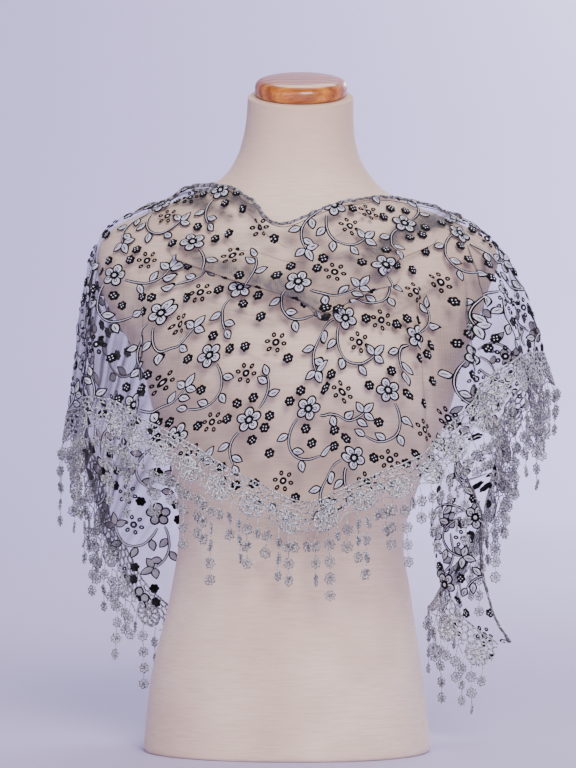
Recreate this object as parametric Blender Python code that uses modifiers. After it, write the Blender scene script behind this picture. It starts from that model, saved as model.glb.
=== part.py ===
"""A triangular lace shawl with a rosette fringe, draped over a dress form.

Millimetres in the tables, metres in the meshes. +Z is up, the front of the form faces -Y, and the
form stands on z = 0.
"""

import bpy
import numpy as np
from math import pi

for old in list(bpy.data.objects):
    bpy.data.objects.remove(old, do_unlink=True)

MM = 0.001
SEAM = 0.55  # half of the open line between two stretches of cloth
FORM_SIDES = 28
FORM_GAP = 1.9  # from the form's surface to the middle of the net
NET_WALL = 1.2
LACE_WALL = 1.6
FRINGE_WALL = 1.6
EDGE_RADIUS = 2.6
STRIP_DEPTH = 1.8
LACE_GAP = 0.9  # between the net and the band, and between the band and the fringe's strip

# ---------------------------------------------------------------------------------------------
# Dress form. Level rings, each a squared ellipse round x = -2.
# height, half width to the left and to the right, front and back in y, squareness, lean
TORSO_X = -2.0
TORSO = [
    # z    left right front back square lean
    (0, 158, 130, -104, 112, 2.20, 0.00),
    (78, 149, 121, -98, 106, 2.20, 0.00),
    (154, 131, 110, -88, 90, 2.15, 0.00),
    (215, 122, 103, -81, 78, 2.10, 0.00),
    (255, 123, 114, -86, 76, 2.10, 0.00),
    (310, 138, 136, -103, 82, 2.15, 0.00),
    (350, 150, 151, -114, 89, 2.20, 0.00),
    (377, 156, 157, -118, 93, 2.25, 0.00),
    (401, 167, 166, -115, 96, 2.30, 0.00),
    (434, 187, 178, -107, 99, 2.30, 0.00),
    (462, 200, 188, -99, 99, 2.25, 0.00),
    (492, 204, 197, -90, 95, 2.15, 0.00),
    (508, 200, 190, -85, 91, 2.05, 0.00),
    (522, 188, 168, -79, 87, 1.95, 0.00),
    (536, 160, 135, -73, 82, 1.90, 0.00),
    (548, 128, 105, -68, 76, 1.90, 0.00),
    (560, 98, 83, -64, 69, 1.95, 0.00),
    (572, 79, 71, -62, 60, 2.00, 0.03),
    (589, 66, 60, -63, 52, 2.00, 0.10),
    (610, 58, 54, -66, 42, 2.00, 0.18),
    (634, 54, 52, -70, 33, 2.00, 0.26),
    (652, 53, 52, -74, 27, 2.00, 0.30),
]
BUST_LIFT = 7.0

NECK_CAP = [  # radius, height above the neck's top
    (41, 0.0),
    (45, 2.4),
    (46, 7),
    (45, 12),
    (39, 16),
    (24, 18),
]

# ---------------------------------------------------------------------------------------------
# Drape. A row is a line across the net from its long plain edge to the lace, with the way the
# lace band hangs from it; along is the distance down the lace edge, from the left end round the
# front point to the right end.
DRAPE = [
    # along, hem, four points between, lace edge, fall of the band
    (0, (-97, 93, 112), (-100, 93, 110), (-102, 93, 108),
     (-104, 93, 106), (-106, 93, 104), (-108, 93, 102), (0, 0, -1)),
    (45, (-106, 97, 166), (-112, 98, 159), (-118, 97, 153),
     (-124, 96, 148), (-131, 94, 143), (-136, 93, 137), (-0.15, 0, -0.98)),
    (79, (-116, 100, 215), (-125, 102, 203), (-133, 103, 191),
     (-141, 103, 180), (-150, 103, 169), (-160, 102, 160), (-0.5, 0, -0.86)),
    (123, (-117, 104, 308), (-129, 105, 284), (-142, 105, 261),
     (-156, 105, 239), (-169, 104, 218), (-182, 104, 198), (-0.45, 0.2, -0.87)),
    (163, (-126, 104, 403), (-142, 106, 372), (-159, 106, 337),
     (-174, 103, 302), (-188, 99, 267), (-198, 96, 234), (-0.45, 0.3, -0.84)),
    (217, (-141, 92, 492), (-162, 98, 468), (-180, 97, 427),
     (-193, 91, 380), (-203, 85, 332), (-210, 80, 284), (-0.45, 0.3, -0.84)),
    (260, (-149, 36, 536), (-184, 48, 518), (-204, 57, 484),
     (-213, 62, 431), (-218, 64, 375), (-221, 62, 321), (-0.28, 0.12, -0.94)),
    (340, (-155, 2, 543), (-190, -3, 523), (-209, -8, 491),
     (-218, -10, 445), (-222, -12, 392), (-226, -14, 345), (-0.1, 0, -0.99)),
    (423, (-135, -14, 549), (-155, -44, 524), (-171, -66, 482),
     (-181, -80, 433), (-186, -86, 391), (-188, -88, 352), (-0.05, -0.1, -0.99)),
    (475, (-111, -22, 561), (-121, -62, 525), (-130, -86, 472),
     (-136, -100, 418), (-140, -106, 372), (-144, -104, 329), (-0.38, -0.1, -0.91)),
    (513, (-83, -42, 562), (-84, -78, 521), (-89, -100, 467),
     (-97, -114, 408), (-104, -116, 358), (-112, -110, 311), (-0.43, -0.15, -0.89)),
    (581, (-51, -76, 546), (-46, -97, 510), (-45, -111, 457),
     (-48, -124, 394), (-50, -124, 336), (-53, -117, 278), (-0.4, -0.1, -0.91)),
    (640, (-21, -104, 521), (-13, -113, 493), (-7, -119, 447),
     (-4, -126, 389), (-1, -124, 322), (1, -116, 254), (0, -0.15, -0.98)),
    (689, (26, -90, 539), (30, -104, 505), (35, -114, 456),
     (40, -125, 397), (43, -124, 333), (47, -117, 271), (0.22, -0.55, -0.75)),
    (730, (55, -64, 547), (63, -90, 510), (69, -106, 459),
     (74, -118, 403), (80, -118, 345), (85, -112, 286), (0.35, -0.45, -0.8)),
    (766, (87, -38, 550), (94, -72, 514), (102, -96, 467),
     (107, -108, 413), (112, -110, 358), (116, -104, 303), (0.45, -0.3, -0.85)),
    (813, (126, -20, 544), (134, -58, 515), (141, -84, 471),
     (145, -96, 426), (146, -100, 381), (148, -97, 336), (0.55, -0.2, -0.8)),
    (874, (144, -8, 538), (159, -38, 518), (171, -62, 485),
     (179, -74, 451), (185, -80, 416), (187, -82, 381), (0.3, -0.15, -0.94)),
    (959, (158, 6, 532), (184, 0, 515), (204, -4, 492),
     (217, -8, 460), (226, -10, 429), (233, -12, 398), (0.3, 0, -0.94)),
    (1032, (153, 46, 523), (178, 54, 505), (198, 60, 476),
     (211, 62, 444), (219, 60, 410), (224, 56, 375), (0.3, 0.1, -0.93)),
    (1082, (148, 92, 473), (162, 95, 453), (177, 95, 427),
     (189, 93, 399), (198, 89, 367), (206, 84, 337), (0.33, 0.2, -0.92)),
    (1116, (143, 102, 389), (153, 104, 372), (163, 104, 356),
     (174, 103, 339), (188, 101, 324), (201, 100, 308), (0.33, 0.2, -0.92)),
    (1146, (153, 78, 309), (141, 84, 296), (142, 92, 286),
     (159, 102, 282), (179, 110, 281), (198, 116, 282), (0.33, 0.2, -0.92)),
    (1179, (177, 50, 248), (157, 54, 246), (137, 66, 241),
     (137, 90, 238), (161, 112, 245), (193, 130, 253), (0.17, 0.45, -0.88)),
    (1237, (182, 56, 202), (164, 62, 200), (143, 74, 197),
     (136, 93, 194), (149, 110, 195), (175, 124, 198), (-0.1, 0.3, -0.94)),
    (1288, (185, 62, 166), (171, 66, 165), (156, 74, 163),
     (144, 84, 161), (143, 94, 160), (150, 102, 160), (-0.5, 0.2, -0.84)),
    (1322, (196, 70, 130), (190, 72, 129), (183, 76, 130),
     (176, 80, 131), (169, 84, 132), (163, 88, 132), (-0.55, -0.1, -0.8)),
    (1379, (215, 76, 97), (214, 77, 96), (213, 78, 96),
     (211, 79, 96), (209, 80, 96), (207, 81, 96), (-0.3, -0.15, -0.94)),
]

# name, then for each run of whole lace repeats: where it starts, where it ends, repeats
STRETCHES = [
    ("left_wing", [(8, 260, 7)]),
    ("left_side", [(260, 475, 6)]),
    ("front", [(475, 640, 5), (640, 813, 5)]),
    ("right_side", [(813, 1082, 8)]),
    ("right_wing", [(1082, 1372, 8)]),
]
# Shares of the way from the rolled edge to the lace, for the front, the sides and the wings
NET_ROWS = {
    "front": (0, 0.04, 0.08, 0.12, 0.16, 0.2, 0.24, 0.28, 0.32, 0.36, 0.41, 0.47, 0.54, 0.62,
              0.71, 0.8, 0.9, 1),
    "side": (0, 0.08, 0.16, 0.24, 0.32, 0.41, 0.5, 0.59, 0.68, 0.78, 0.89, 1),
    "wing": (0, 0.12, 0.24, 0.36, 0.48, 0.6, 0.72, 0.86, 1),
}

# Folds of the cowl, ridges seen from the front: height, half width, then (x, z) along the ridge
COWL_FOLDS = [
    (7, 9, [(-112, 536), (-88, 529), (-70, 521), (-58, 512)]),
    (17, 12, [(-118, 503), (-96, 494), (-64, 482), (-38, 475), (-20, 469), (2, 463), (24, 452)]),
    (16, 12, [(118, 517), (103, 510), (84, 501), (66, 486), (35, 474), (14, 470)]),
    (12, 9, [(84, 474), (63, 469), (44, 459), (19, 452)]),
    (8, 10, [(-112, 462), (-84, 447), (-52, 436), (-30, 432)]),
    (5, 11, [(-62, 408), (-48, 402), (-36, 396), (-22, 393)]),
    (8, 10, [(128, 470), (108, 458), (88, 444), (72, 436)]),
]
# Flutes that open from the shoulders down to the lace: along, half width, height, first row
FLUTES = [
    (88, 24, 6, 0.10),
    (140, 22, -6, 0.15),
    (182, 22, 4, 0.20),
    (276, 18, 6, 0.25),
    (310, 17, -7, 0.30),
    (352, 17, 6, 0.30),
    (392, 18, -9, 0.25),
    (430, 16, 9, 0.25),
    (462, 14, -6, 0.35),
    (520, 20, 4, 0.55),
    (566, 20, -4, 0.60),
    (618, 16, 5, 0.70),
    (662, 16, -5, 0.70),
    (712, 20, 5, 0.60),
    (758, 18, -6, 0.50),
    (796, 16, 9, 0.30),
    (826, 15, -10, 0.25),
    (856, 16, 9, 0.25),
    (892, 17, -8, 0.25),
    (930, 17, 8, 0.30),
    (968, 17, -7, 0.30),
    (1008, 18, 8, 0.30),
    (1044, 17, -6, 0.25),
    (1200, 24, 4, 0.25),
]

# One lace repeat: columns as shares of its width, rows as depths down the band
LACE_COLUMNS = (0.0, 0.15, 0.43, 0.72, 1.0)
LACE_ROWS = (0.0, 4.5, 14.5, 18.5, 31.5)
FAN_REACH = (0.0, 0.0, 3.0, 3.0, 0.0)  # how far the fan's foot hangs below the last row
LACE_OPEN = {(1, 1), (3, 1), (0, 3)}  # column and row of the open cells

ROSETTE = 11.6
LINK = 4.8
LINK_WIDTH = 1.8


def smooth(keys, rows, at):
    """Cubic curve through the rows of a table, for an array of places."""
    keys, rows, at = (np.asarray(a, float) for a in (keys, rows, at))
    step = np.diff(keys)
    shape = (-1,) + (1,) * (rows.ndim - 1)
    slope = np.diff(rows, axis=0) / step.reshape(shape)
    before, after = step[:-1].reshape(shape), step[1:].reshape(shape)
    middle = (slope[:-1] * after + slope[1:] * before) / (before + after)
    tangent = np.concatenate([slope[:1], middle, slope[-1:]])
    i = np.clip(np.searchsorted(keys, at, side="right") - 1, 0, len(step) - 1)
    t = ((at - keys[i]) / step[i]).reshape(at.shape + (1,) * (rows.ndim - 1))
    h = step[i].reshape(t.shape)
    return (
        rows[i] * (1 + 2 * t) * (1 - t) ** 2
        + rows[i + 1] * t * t * (3 - 2 * t)
        + h * tangent[i] * t * (1 - t) ** 2
        - h * tangent[i + 1] * t * t * (1 - t)
    )


def unit(v):
    return v / np.maximum(np.linalg.norm(v, axis=-1, keepdims=True), 1e-9)


def bust(x, z):
    """How far the bust stands out of the ring, forward."""
    side = np.exp(-(((np.abs(x - TORSO_X) - 66) / 42) ** 2))
    return BUST_LIFT * side * np.exp(-(((z - 380) / 46) ** 2))


def torso_level(p):
    """0 on the form's surface, below 0 inside it."""
    rows = np.array(TORSO, float)
    x, y, z = p[..., 0], p[..., 1], np.clip(p[..., 2], 0, 640)
    left, right, front, back, square, _ = np.moveaxis(smooth(rows[:, 0], rows[:, 1:], z), -1, 0)
    middle = (front + back) / 2
    y = np.where(y < middle, y + bust(x, z), y)
    across = np.abs(x - TORSO_X) / np.where(x < TORSO_X, left, right)
    deep = np.abs(y - middle) / ((back - front) / 2)
    return (across**square + deep**square) ** (1 / square) - 1


def clear_of_form(p, gap):
    """Points moved out along the form's own slope until they stand gap away from it."""
    p = np.array(p, float)
    for _ in range(8):
        level = torso_level(p)
        slope = np.stack(
            [torso_level(p + 0.5 * axis) - torso_level(p - 0.5 * axis) for axis in np.eye(3)], -1
        )
        steep = np.maximum(np.linalg.norm(slope, axis=-1), 1e-4)
        short = np.clip(gap - level / steep, 0, 12)
        p += (slope / steep[..., None]) * (short * 0.9)[..., None]
    return p


def ridge(x, z, line):
    """Distance from (x, z) to a line of points."""
    best = np.full(np.shape(x), 1e9)
    for (ax, az), (bx, bz) in zip(line, line[1:]):
        dx, dz = bx - ax, bz - az
        t = np.clip(((x - ax) * dx + (z - az) * dz) / (dx * dx + dz * dz), 0, 1)
        best = np.minimum(best, np.hypot(x - ax - t * dx, z - az - t * dz))
    return best


def drape_points(along, share):
    """Middle of the net, one line of points for each along, before the form is cleared."""
    keys = [row[0] for row in DRAPE]
    lines = smooth(keys, [row[1:7] for row in DRAPE], along)
    lines = smooth(np.linspace(0, 1, 6), np.swapaxes(lines, 0, 1), share)
    return np.swapaxes(lines, 0, 1)


def net_points(along, share):
    """Middle of the net with its folds, clear of the form."""
    along, share = np.asarray(along, float), np.asarray(share, float)
    p = drape_points(along, share)
    across = drape_points(along + 2, share) - drape_points(along - 2, share)
    down = drape_points(along, share + 0.01) - drape_points(along, share - 0.01)
    out = unit(np.cross(across, down))
    lift = np.zeros(p.shape[:2])
    for centre, width, height, first in FLUTES:
        grow = np.clip((share - first) / (1 - first), 0, 1)
        grow = grow * grow * (3 - 2 * grow)
        lift += height * np.exp(-(((along - centre) / width) ** 2))[:, None] * grow
    p = p + out * lift[..., None]
    front = (p[..., 1] < -20) & (along > 400)[:, None] & (along < 900)[:, None]
    folds = [
        (height * np.exp(-((ridge(p[..., 0], p[..., 2], line) / width) ** 2))) ** 3
        for height, width, line in COWL_FOLDS
    ]
    p[..., 1] -= np.where(front, np.sum(folds, axis=0) ** (1 / 3), 0)
    near = np.clip(1 - share / 0.12, 0, 1)
    return clear_of_form(p, FORM_GAP + EDGE_RADIUS * near)


def half_repeats(runs):
    """Places along the lace edge of a stretch, two to a repeat, eased in at both seams."""
    at = [runs[0][0]]
    for start, end, repeats in runs:
        at += list(np.linspace(start, end, 2 * repeats + 1)[1:])
    at[0] += SEAM
    at[-1] -= SEAM
    return np.array(at)


def net_grid(along, rows):
    """Net points at shares of each line's own length. The first row clears the rolled edge."""
    p = net_points(along, np.linspace(0, 1, 61))
    length = np.linalg.norm(np.diff(p, axis=1), axis=-1).cumsum(1)
    edge, down = unit(np.gradient(p[:, 0], axis=0)), unit(p[:, 2] - p[:, 0])
    slant = np.linalg.norm(np.cross(edge, down), axis=-1)
    grid = []
    for line, run, s in zip(p, length, slant):
        run = np.concatenate([[0], run])
        start = (EDGE_RADIUS + 0.9) / max(s, 0.35)
        at = start + (run[-1] - start) * np.asarray(rows)
        grid.append(np.stack([np.interp(at, run, line[:, i]) for i in range(3)], -1))
    return np.array(grid)


def band_frame(runs):
    """Lace edge of a stretch, the way the band falls from it and the open line it needs."""
    at = half_repeats(runs)
    inner, edge = np.moveaxis(net_points(at, [0.97, 1.0]), 1, 0)
    fall = unit(smooth([row[0] for row in DRAPE], [row[7] for row in DRAPE], at))
    way = unit(np.gradient(edge, axis=0))
    slant = np.linalg.norm(np.cross(way, fall), axis=-1)
    level = [unit(v - way * (v * way).sum(-1, keepdims=True)) for v in (fall, edge - inner)]
    turned = 1 - (level[0] * level[1]).sum(-1)
    return edge, fall, (LACE_GAP + 0.7 * turned) / np.maximum(slant, 0.4)


def along_edge(frame, place, down, gaps=1):
    """Point of the band at place (counted in half repeats), down its fall."""
    edge, fall, clear = frame
    i = np.clip(np.floor(place).astype(int), 0, len(edge) - 2)
    t = (place - i)[:, None]
    start = edge + fall * (clear * gaps)[:, None]
    start = start[i] * (1 - t) + start[i + 1] * t
    way = unit(fall[i] * (1 - t) + fall[i + 1] * t)
    return start + way * np.asarray(down, float).reshape(-1, 1)


def collection():
    group = bpy.data.collections.new("lace_shawl")
    bpy.context.scene.collection.children.link(group)
    return group


GROUP = collection()


def finish_of(name, colour, rough, coat=0.0):
    mat = bpy.data.materials.get(name)
    if mat is None:
        mat = bpy.data.materials.new(name)
        mat.use_nodes = True
        shader = mat.node_tree.nodes["Principled BSDF"]
        shader.inputs["Base Color"].default_value = (*colour, 1)
        shader.inputs["Roughness"].default_value = rough
        shader.inputs["Coat Weight"].default_value = coat
        mat.diffuse_color = (*colour, 1)
    return mat


FINISHES = {
    "form_torso": ("beige_jersey", (0.67, 0.58, 0.53), 0.85, 0.0),
    "neck_cap": ("varnished_wood", (0.50, 0.21, 0.06), 0.35, 0.6),
    "net": ("embroidered_net", (0.55, 0.54, 0.58), 0.8, 0.0),
    "rolled_edge": ("rolled_edge", (0.12, 0.12, 0.13), 0.8, 0.0),
    "lace_band": ("guipure_lace", (0.42, 0.41, 0.42), 0.6, 0.0),
    "fringe": ("rosette_fringe", (0.42, 0.41, 0.42), 0.6, 0.0),
}


def add_mesh(name, verts, faces, finish):
    data = bpy.data.meshes.new(name)
    data.from_pydata([tuple(v) for v in np.asarray(verts, float) * MM], [], [list(f) for f in faces])
    data.validate()
    obj = bpy.data.objects.new(name, data)
    GROUP.objects.link(obj)
    data.materials.append(finish_of(*FINISHES[finish]))
    for polygon in data.polygons:
        polygon.use_smooth = True
    return obj


def thicken(obj, wall):
    """Gives an open sheet its wall, half on each side."""
    solid = obj.modifiers.new("wall", "SOLIDIFY")
    solid.thickness = wall * MM
    solid.offset = 0
    solid.use_even_offset = False
    return obj


def quads(columns, rows, start=0):
    """Faces of a grid kept column by column."""
    return [
        (start + c * rows + r, start + (c + 1) * rows + r, start + (c + 1) * rows + r + 1,
         start + c * rows + r + 1)
        for c in range(columns - 1) for r in range(rows - 1)
    ]


def rings_solid(name, rings, finish):
    """Closed solid through rings of equal count, first ring to last."""
    count, sides = len(rings), len(rings[0])
    verts = [p for ring in rings for p in ring]
    faces = []
    for i in range(count - 1):
        for j in range(sides):
            k = (j + 1) % sides
            faces.append((i * sides + j, i * sides + k, (i + 1) * sides + k, (i + 1) * sides + j))
    faces.append(tuple(range(sides - 1, -1, -1)))
    faces.append(tuple((count - 1) * sides + j for j in range(sides)))
    return add_mesh(name, verts, faces, finish)


# ---------------------------------------------------------------------------------------------
# Form


def torso_ring(z, inset=0.0):
    rows = np.array(TORSO, float)
    left, right, front, back, square, lean = smooth(rows[:, 0], rows[:, 1:], np.array([z]))[0]
    turn = np.arange(FORM_SIDES) * 2 * pi / FORM_SIDES
    c, s = np.cos(turn), np.sin(turn)
    wide = np.where(c < 0, left, right) - inset
    x = TORSO_X + wide * np.sign(c) * np.abs(c) ** (2 / square)
    middle, half = (front + back) / 2, (back - front) / 2 - inset
    y = middle + half * np.sign(s) * np.abs(s) ** (2 / square)
    y = np.where(s < 0, y - bust(x, z), y)
    return np.stack([x, y, z + (y - middle) * lean], -1)


def build_form():
    rings = [torso_ring(0, 4.0), torso_ring(3.0)]
    for z in (40, 90, 150, 205, 255, 300, 340, 372, 404, 436, 466, 492, 508, 522, 536, 548, 560,
              572, 592, 622):
        rings.append(torso_ring(z))
    rings += [torso_ring(648), torso_ring(652, 5.0)]
    rings_solid("form_torso", rings, "form_torso")

    middle, lean = (-74 + 27) / 2, 0.30
    turn = np.arange(24) * 2 * pi / 24
    axis = unit(np.array([0.0, -lean, 1.0]))
    rings = []
    for radius, height in NECK_CAP:
        x = TORSO_X + radius * np.cos(turn)
        y = radius * np.sin(turn)
        flat = np.stack([x, middle + y, 652.3 + y * lean], -1)
        rings.append(flat + axis * height)
    rings_solid("neck_cap", rings, "neck_cap")


# ---------------------------------------------------------------------------------------------
# Shawl


def build_net(name, runs):
    p = net_grid(half_repeats(runs), NET_ROWS[name.split("_")[-1]])
    thicken(add_mesh(f"net_{name}", p.reshape(-1, 3), quads(*p.shape[:2]), "net"), NET_WALL)


def build_rolled_edge(name, runs):
    along = half_repeats(runs)
    along[0] += SEAM
    along[-1] -= SEAM
    line, inner = np.moveaxis(net_points(along, [0.0, 0.05]), 1, 0)
    before, after = (net_points(along + step, [0.0, 0.05])[:, 0] for step in (-1, 1))
    way = unit(after - before)
    inward = inner - line
    side = unit(inward - way * (inward * way).sum(-1, keepdims=True))
    up = np.cross(way, side)
    turn = np.arange(5) * 2 * pi / 5
    rings = [
        line[i] + EDGE_RADIUS * (np.outer(np.cos(turn), side[i]) + np.outer(np.sin(turn), up[i]))
        for i in range(len(line))
    ]
    rings_solid(f"rolled_edge_{name}", rings, "rolled_edge")


def build_band(name, runs):
    frame = band_frame(runs)
    repeats = (len(frame[0]) - 1) // 2
    index, verts, faces = {}, [], []

    def corner(rep, col, row):
        if col == len(LACE_COLUMNS) - 1:
            rep, col = rep + 1, 0
        if (rep, col, row) not in index:
            place = min(2 * (rep + LACE_COLUMNS[col]), 2 * repeats)
            down = LACE_ROWS[row]
            if row == len(LACE_ROWS) - 1:
                down += FAN_REACH[col]
            point = along_edge(frame, np.array([place]), [down])[0]
            index[rep, col, row] = len(verts)
            verts.append(point)
        return index[rep, col, row]

    for rep in range(repeats):
        for col in range(len(LACE_COLUMNS) - 1):
            for row in range(len(LACE_ROWS) - 1):
                if (col, row) in LACE_OPEN:
                    continue
                faces.append((corner(rep, col, row), corner(rep, col + 1, row),
                              corner(rep, col + 1, row + 1), corner(rep, col, row + 1)))
    verts = clear_of_form(np.array(verts), FORM_GAP + 1)
    thicken(add_mesh(f"lace_band_{name}", verts, faces, "lace_band"), LACE_WALL)


def strand_heading(runs, repeats):
    """Level step from one strand to the next, evened over four of them."""
    keys, fall = [row[0] for row in DRAPE], [row[7] for row in DRAPE]
    at = half_repeats(runs)[: 2 * repeats] + 6
    ends = []
    for step in (-36, 36):
        there = np.clip(at + step, 0, keys[-1])
        edge = net_points(there, [0.98, 1.0])[:, -1]
        ends.append(edge + 36 * unit(smooth(keys, fall, there)))
    return (ends[1] - ends[0]) / 4 * np.array([1, 1, 0])


def louver(heading):
    """Level way across a strand, turned so that strands that hang close stand clear."""
    level = unit(heading)
    turn = np.arccos(np.clip(0.72 * np.linalg.norm(heading) / ROSETTE, 0.1, 0.96))
    c, s = np.cos(turn), np.sin(turn)
    return np.array([c * level[0] - s * level[1], s * level[0] + c * level[1], 0])


def build_fringe(name, runs):
    """Narrow strip under the fans with one long and one short strand to a repeat."""
    frame = band_frame(runs)
    repeats = (len(frame[0]) - 1) // 2
    verts, faces = [], []
    top = LACE_ROWS[-1]
    places, downs = [], []
    for rep in range(repeats):
        for col in range(len(LACE_COLUMNS) - 1):
            places.append(2 * (rep + LACE_COLUMNS[col]))
            downs.append(top + FAN_REACH[col])
    places.append(2 * repeats)
    downs.append(top)
    upper = along_edge(frame, np.array(places, float), downs, 2)
    lower = along_edge(frame, np.array(places, float), np.array(downs) + STRIP_DEPTH, 2)
    upper = clear_of_form(upper, FORM_GAP + 1)
    lower = clear_of_form(lower, FORM_GAP + 1)
    heading = strand_heading(runs, repeats)
    verts += list(upper) + list(lower)
    count = len(places)
    for i in range(count - 1):
        faces.append((i, i + 1, count + i + 1, count + i))
    for rep in range(repeats):
        for col, rosettes in ((0, 2), (2, 4)):
            i = rep * (len(LACE_COLUMNS) - 1) + col
            a, b = lower[i], lower[i + 1]
            root = (a + b) / 2
            wide = louver(heading[rep * 2 + (col > 0)])
            last = (count + i, count + i + 1)
            depth = LINK
            widths = []
            for _ in range(rosettes):
                widths += [(depth, LINK_WIDTH), (depth + ROSETTE / 2, ROSETTE),
                           (depth + ROSETTE, LINK_WIDTH)]
                depth += ROSETTE + LINK
            for down, width in widths:
                middle = clear_of_form(root + np.array([0, 0, -down]), FORM_GAP + 2)
                here = (len(verts), len(verts) + 1)
                verts += [middle - wide * width / 2, middle + wide * width / 2]
                faces.append((last[0], last[1], here[1], here[0]))
                last = here
    thicken(add_mesh(f"fringe_{name}", verts, faces, "fringe"), FRINGE_WALL)


build_form()
for stretch, runs in STRETCHES:
    build_net(stretch, runs)
    build_rolled_edge(stretch, runs)
    build_band(stretch, runs)
    build_fringe(stretch, runs)
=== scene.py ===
import bpy
import numpy as np
from math import pi
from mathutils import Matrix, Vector
from mathutils.kdtree import KDTree


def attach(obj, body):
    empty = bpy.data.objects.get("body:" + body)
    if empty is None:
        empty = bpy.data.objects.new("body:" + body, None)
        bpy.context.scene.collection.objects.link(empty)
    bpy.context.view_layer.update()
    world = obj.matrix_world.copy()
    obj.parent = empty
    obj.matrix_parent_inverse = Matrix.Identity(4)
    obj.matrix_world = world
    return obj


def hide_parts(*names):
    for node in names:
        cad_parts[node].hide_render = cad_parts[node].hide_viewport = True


# A sheer triangular lace shawl draped in a cowl over a dress form: the finished look of each piece.
# Tables are in millimetres and meshes in metres. +Z is up and the front of the form faces -Y.
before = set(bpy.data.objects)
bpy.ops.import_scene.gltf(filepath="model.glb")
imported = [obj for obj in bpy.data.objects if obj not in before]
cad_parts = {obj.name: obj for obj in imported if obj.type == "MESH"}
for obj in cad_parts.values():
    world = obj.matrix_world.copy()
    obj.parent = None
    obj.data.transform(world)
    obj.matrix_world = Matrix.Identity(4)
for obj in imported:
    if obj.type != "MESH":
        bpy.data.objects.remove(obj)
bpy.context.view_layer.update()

# ---------------------------------------------------------------------------------------------
# The form's cover: a tube of beige jersey with a thin slub, pulled smooth over a padded shell,
# closed by one flat seam down the back and turned under at the foot.
MM = 0.001
TORSO_X = -2.0
TORSO = [
    # z    left right front back square lean
    (0, 158, 130, -104, 112, 2.20, 0.00),
    (78, 149, 121, -98, 106, 2.20, 0.00),
    (154, 131, 110, -88, 90, 2.15, 0.00),
    (215, 122, 103, -81, 78, 2.10, 0.00),
    (255, 123, 114, -86, 76, 2.10, 0.00),
    (310, 138, 136, -103, 82, 2.15, 0.00),
    (350, 150, 151, -114, 89, 2.20, 0.00),
    (377, 156, 157, -118, 93, 2.25, 0.00),
    (401, 167, 166, -115, 96, 2.30, 0.00),
    (434, 187, 178, -107, 99, 2.30, 0.00),
    (462, 200, 188, -99, 99, 2.25, 0.00),
    (492, 204, 197, -90, 95, 2.15, 0.00),
    (508, 200, 190, -85, 91, 2.05, 0.00),
    (522, 188, 168, -79, 87, 1.95, 0.00),
    (536, 160, 135, -73, 82, 1.90, 0.00),
    (548, 128, 105, -68, 76, 1.90, 0.00),
    (560, 98, 83, -64, 69, 1.95, 0.00),
    (572, 79, 71, -62, 60, 2.00, 0.03),
    (589, 66, 60, -63, 52, 2.00, 0.10),
    (610, 58, 54, -66, 42, 2.00, 0.18),
    (634, 54, 52, -70, 33, 2.00, 0.26),
    (652, 53, 52, -74, 27, 2.00, 0.30),
]
BUST_LIFT = 7.0
NECK_TOP, NECK_LEAN = 652.0, 0.30


def smooth(keys, rows, at):
    """Cubic curve through the rows of a table, for an array of places."""
    keys, rows, at = (np.asarray(a, float) for a in (keys, rows, at))
    step = np.diff(keys)
    shape = (-1,) + (1,) * (rows.ndim - 1)
    slope = np.diff(rows, axis=0) / step.reshape(shape)
    before, after = step[:-1].reshape(shape), step[1:].reshape(shape)
    middle = (slope[:-1] * after + slope[1:] * before) / (before + after)
    tangent = np.concatenate([slope[:1], middle, slope[-1:]])
    i = np.clip(np.searchsorted(keys, at, side="right") - 1, 0, len(step) - 1)
    t = ((at - keys[i]) / step[i]).reshape(at.shape + (1,) * (rows.ndim - 1))
    h = step[i].reshape(t.shape)
    return (rows[i] * (1 + 2 * t) * (1 - t) ** 2 + rows[i + 1] * t * t * (3 - 2 * t)
            + h * tangent[i] * t * (1 - t) ** 2 - h * tangent[i + 1] * t * t * (1 - t))


def unit(v):
    return v / np.maximum(np.linalg.norm(v, axis=-1, keepdims=True), 1e-9)


def all_round(count):
    """Equal turns round a circle, in radians."""
    return np.arange(count) * 2 * pi / count


def bust(x, z):
    """How far the bust stands out of the ring, forward."""
    side = np.exp(-(((np.abs(x - TORSO_X) - 66) / 42) ** 2))
    return BUST_LIFT * side * np.exp(-(((z - 380) / 46) ** 2))


def torso_ring(z, sides, inset=0.0):
    """One ring of the form, from the right side round the back, level below the neck."""
    rows = np.array(TORSO, float)
    left, right, front, back, square, lean = smooth(rows[:, 0], rows[:, 1:], np.array([z]))[0]
    c, s = np.cos(all_round(sides)), np.sin(all_round(sides))
    wide = np.where(c < 0, left, right) - inset
    x = TORSO_X + wide * np.sign(c) * np.abs(c) ** (2 / square)
    middle, half = (front + back) / 2, (back - front) / 2 - inset
    y = middle + half * np.sign(s) * np.abs(s) ** (2 / square)
    y = np.where(s < 0, y - bust(x, z), y)
    return np.stack([x, y, z + (y - middle) * lean], -1)


def linear(code, alpha=1.0):
    """sRGB hex to Blender's linear colour."""
    parts = [int(code[i:i + 2], 16) / 255 for i in (1, 3, 5)]
    return (*[c / 12.92 if c <= 0.04045 else ((c + 0.055) / 1.055) ** 2.4 for c in parts], alpha)


def add_node(tree, kind, inputs=None, **settings):
    """Adds a node, sets its properties, and sets or links its inputs by name or number."""
    node = tree.nodes.new(kind)
    for name, value in settings.items():
        setattr(node, name, value)
    for name, value in (inputs or {}).items():
        if isinstance(value, bpy.types.NodeSocket):
            tree.links.new(value, node.inputs[name])
        else:
            node.inputs[name].default_value = value
    return node


def new_finish(name, colour, **sockets):
    """A material with one Principled shader, its plain values set on the shader's own sockets."""
    finish = bpy.data.materials.new(name)
    finish.use_nodes = True
    shader = finish.node_tree.nodes["Principled BSDF"]
    shader.inputs["Base Color"].default_value = linear(colour)
    for socket, value in sockets.items():
        shader.inputs[socket.replace("_", " ")].default_value = value
    finish.diffuse_color = linear(colour)
    return finish, finish.node_tree, shader


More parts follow.
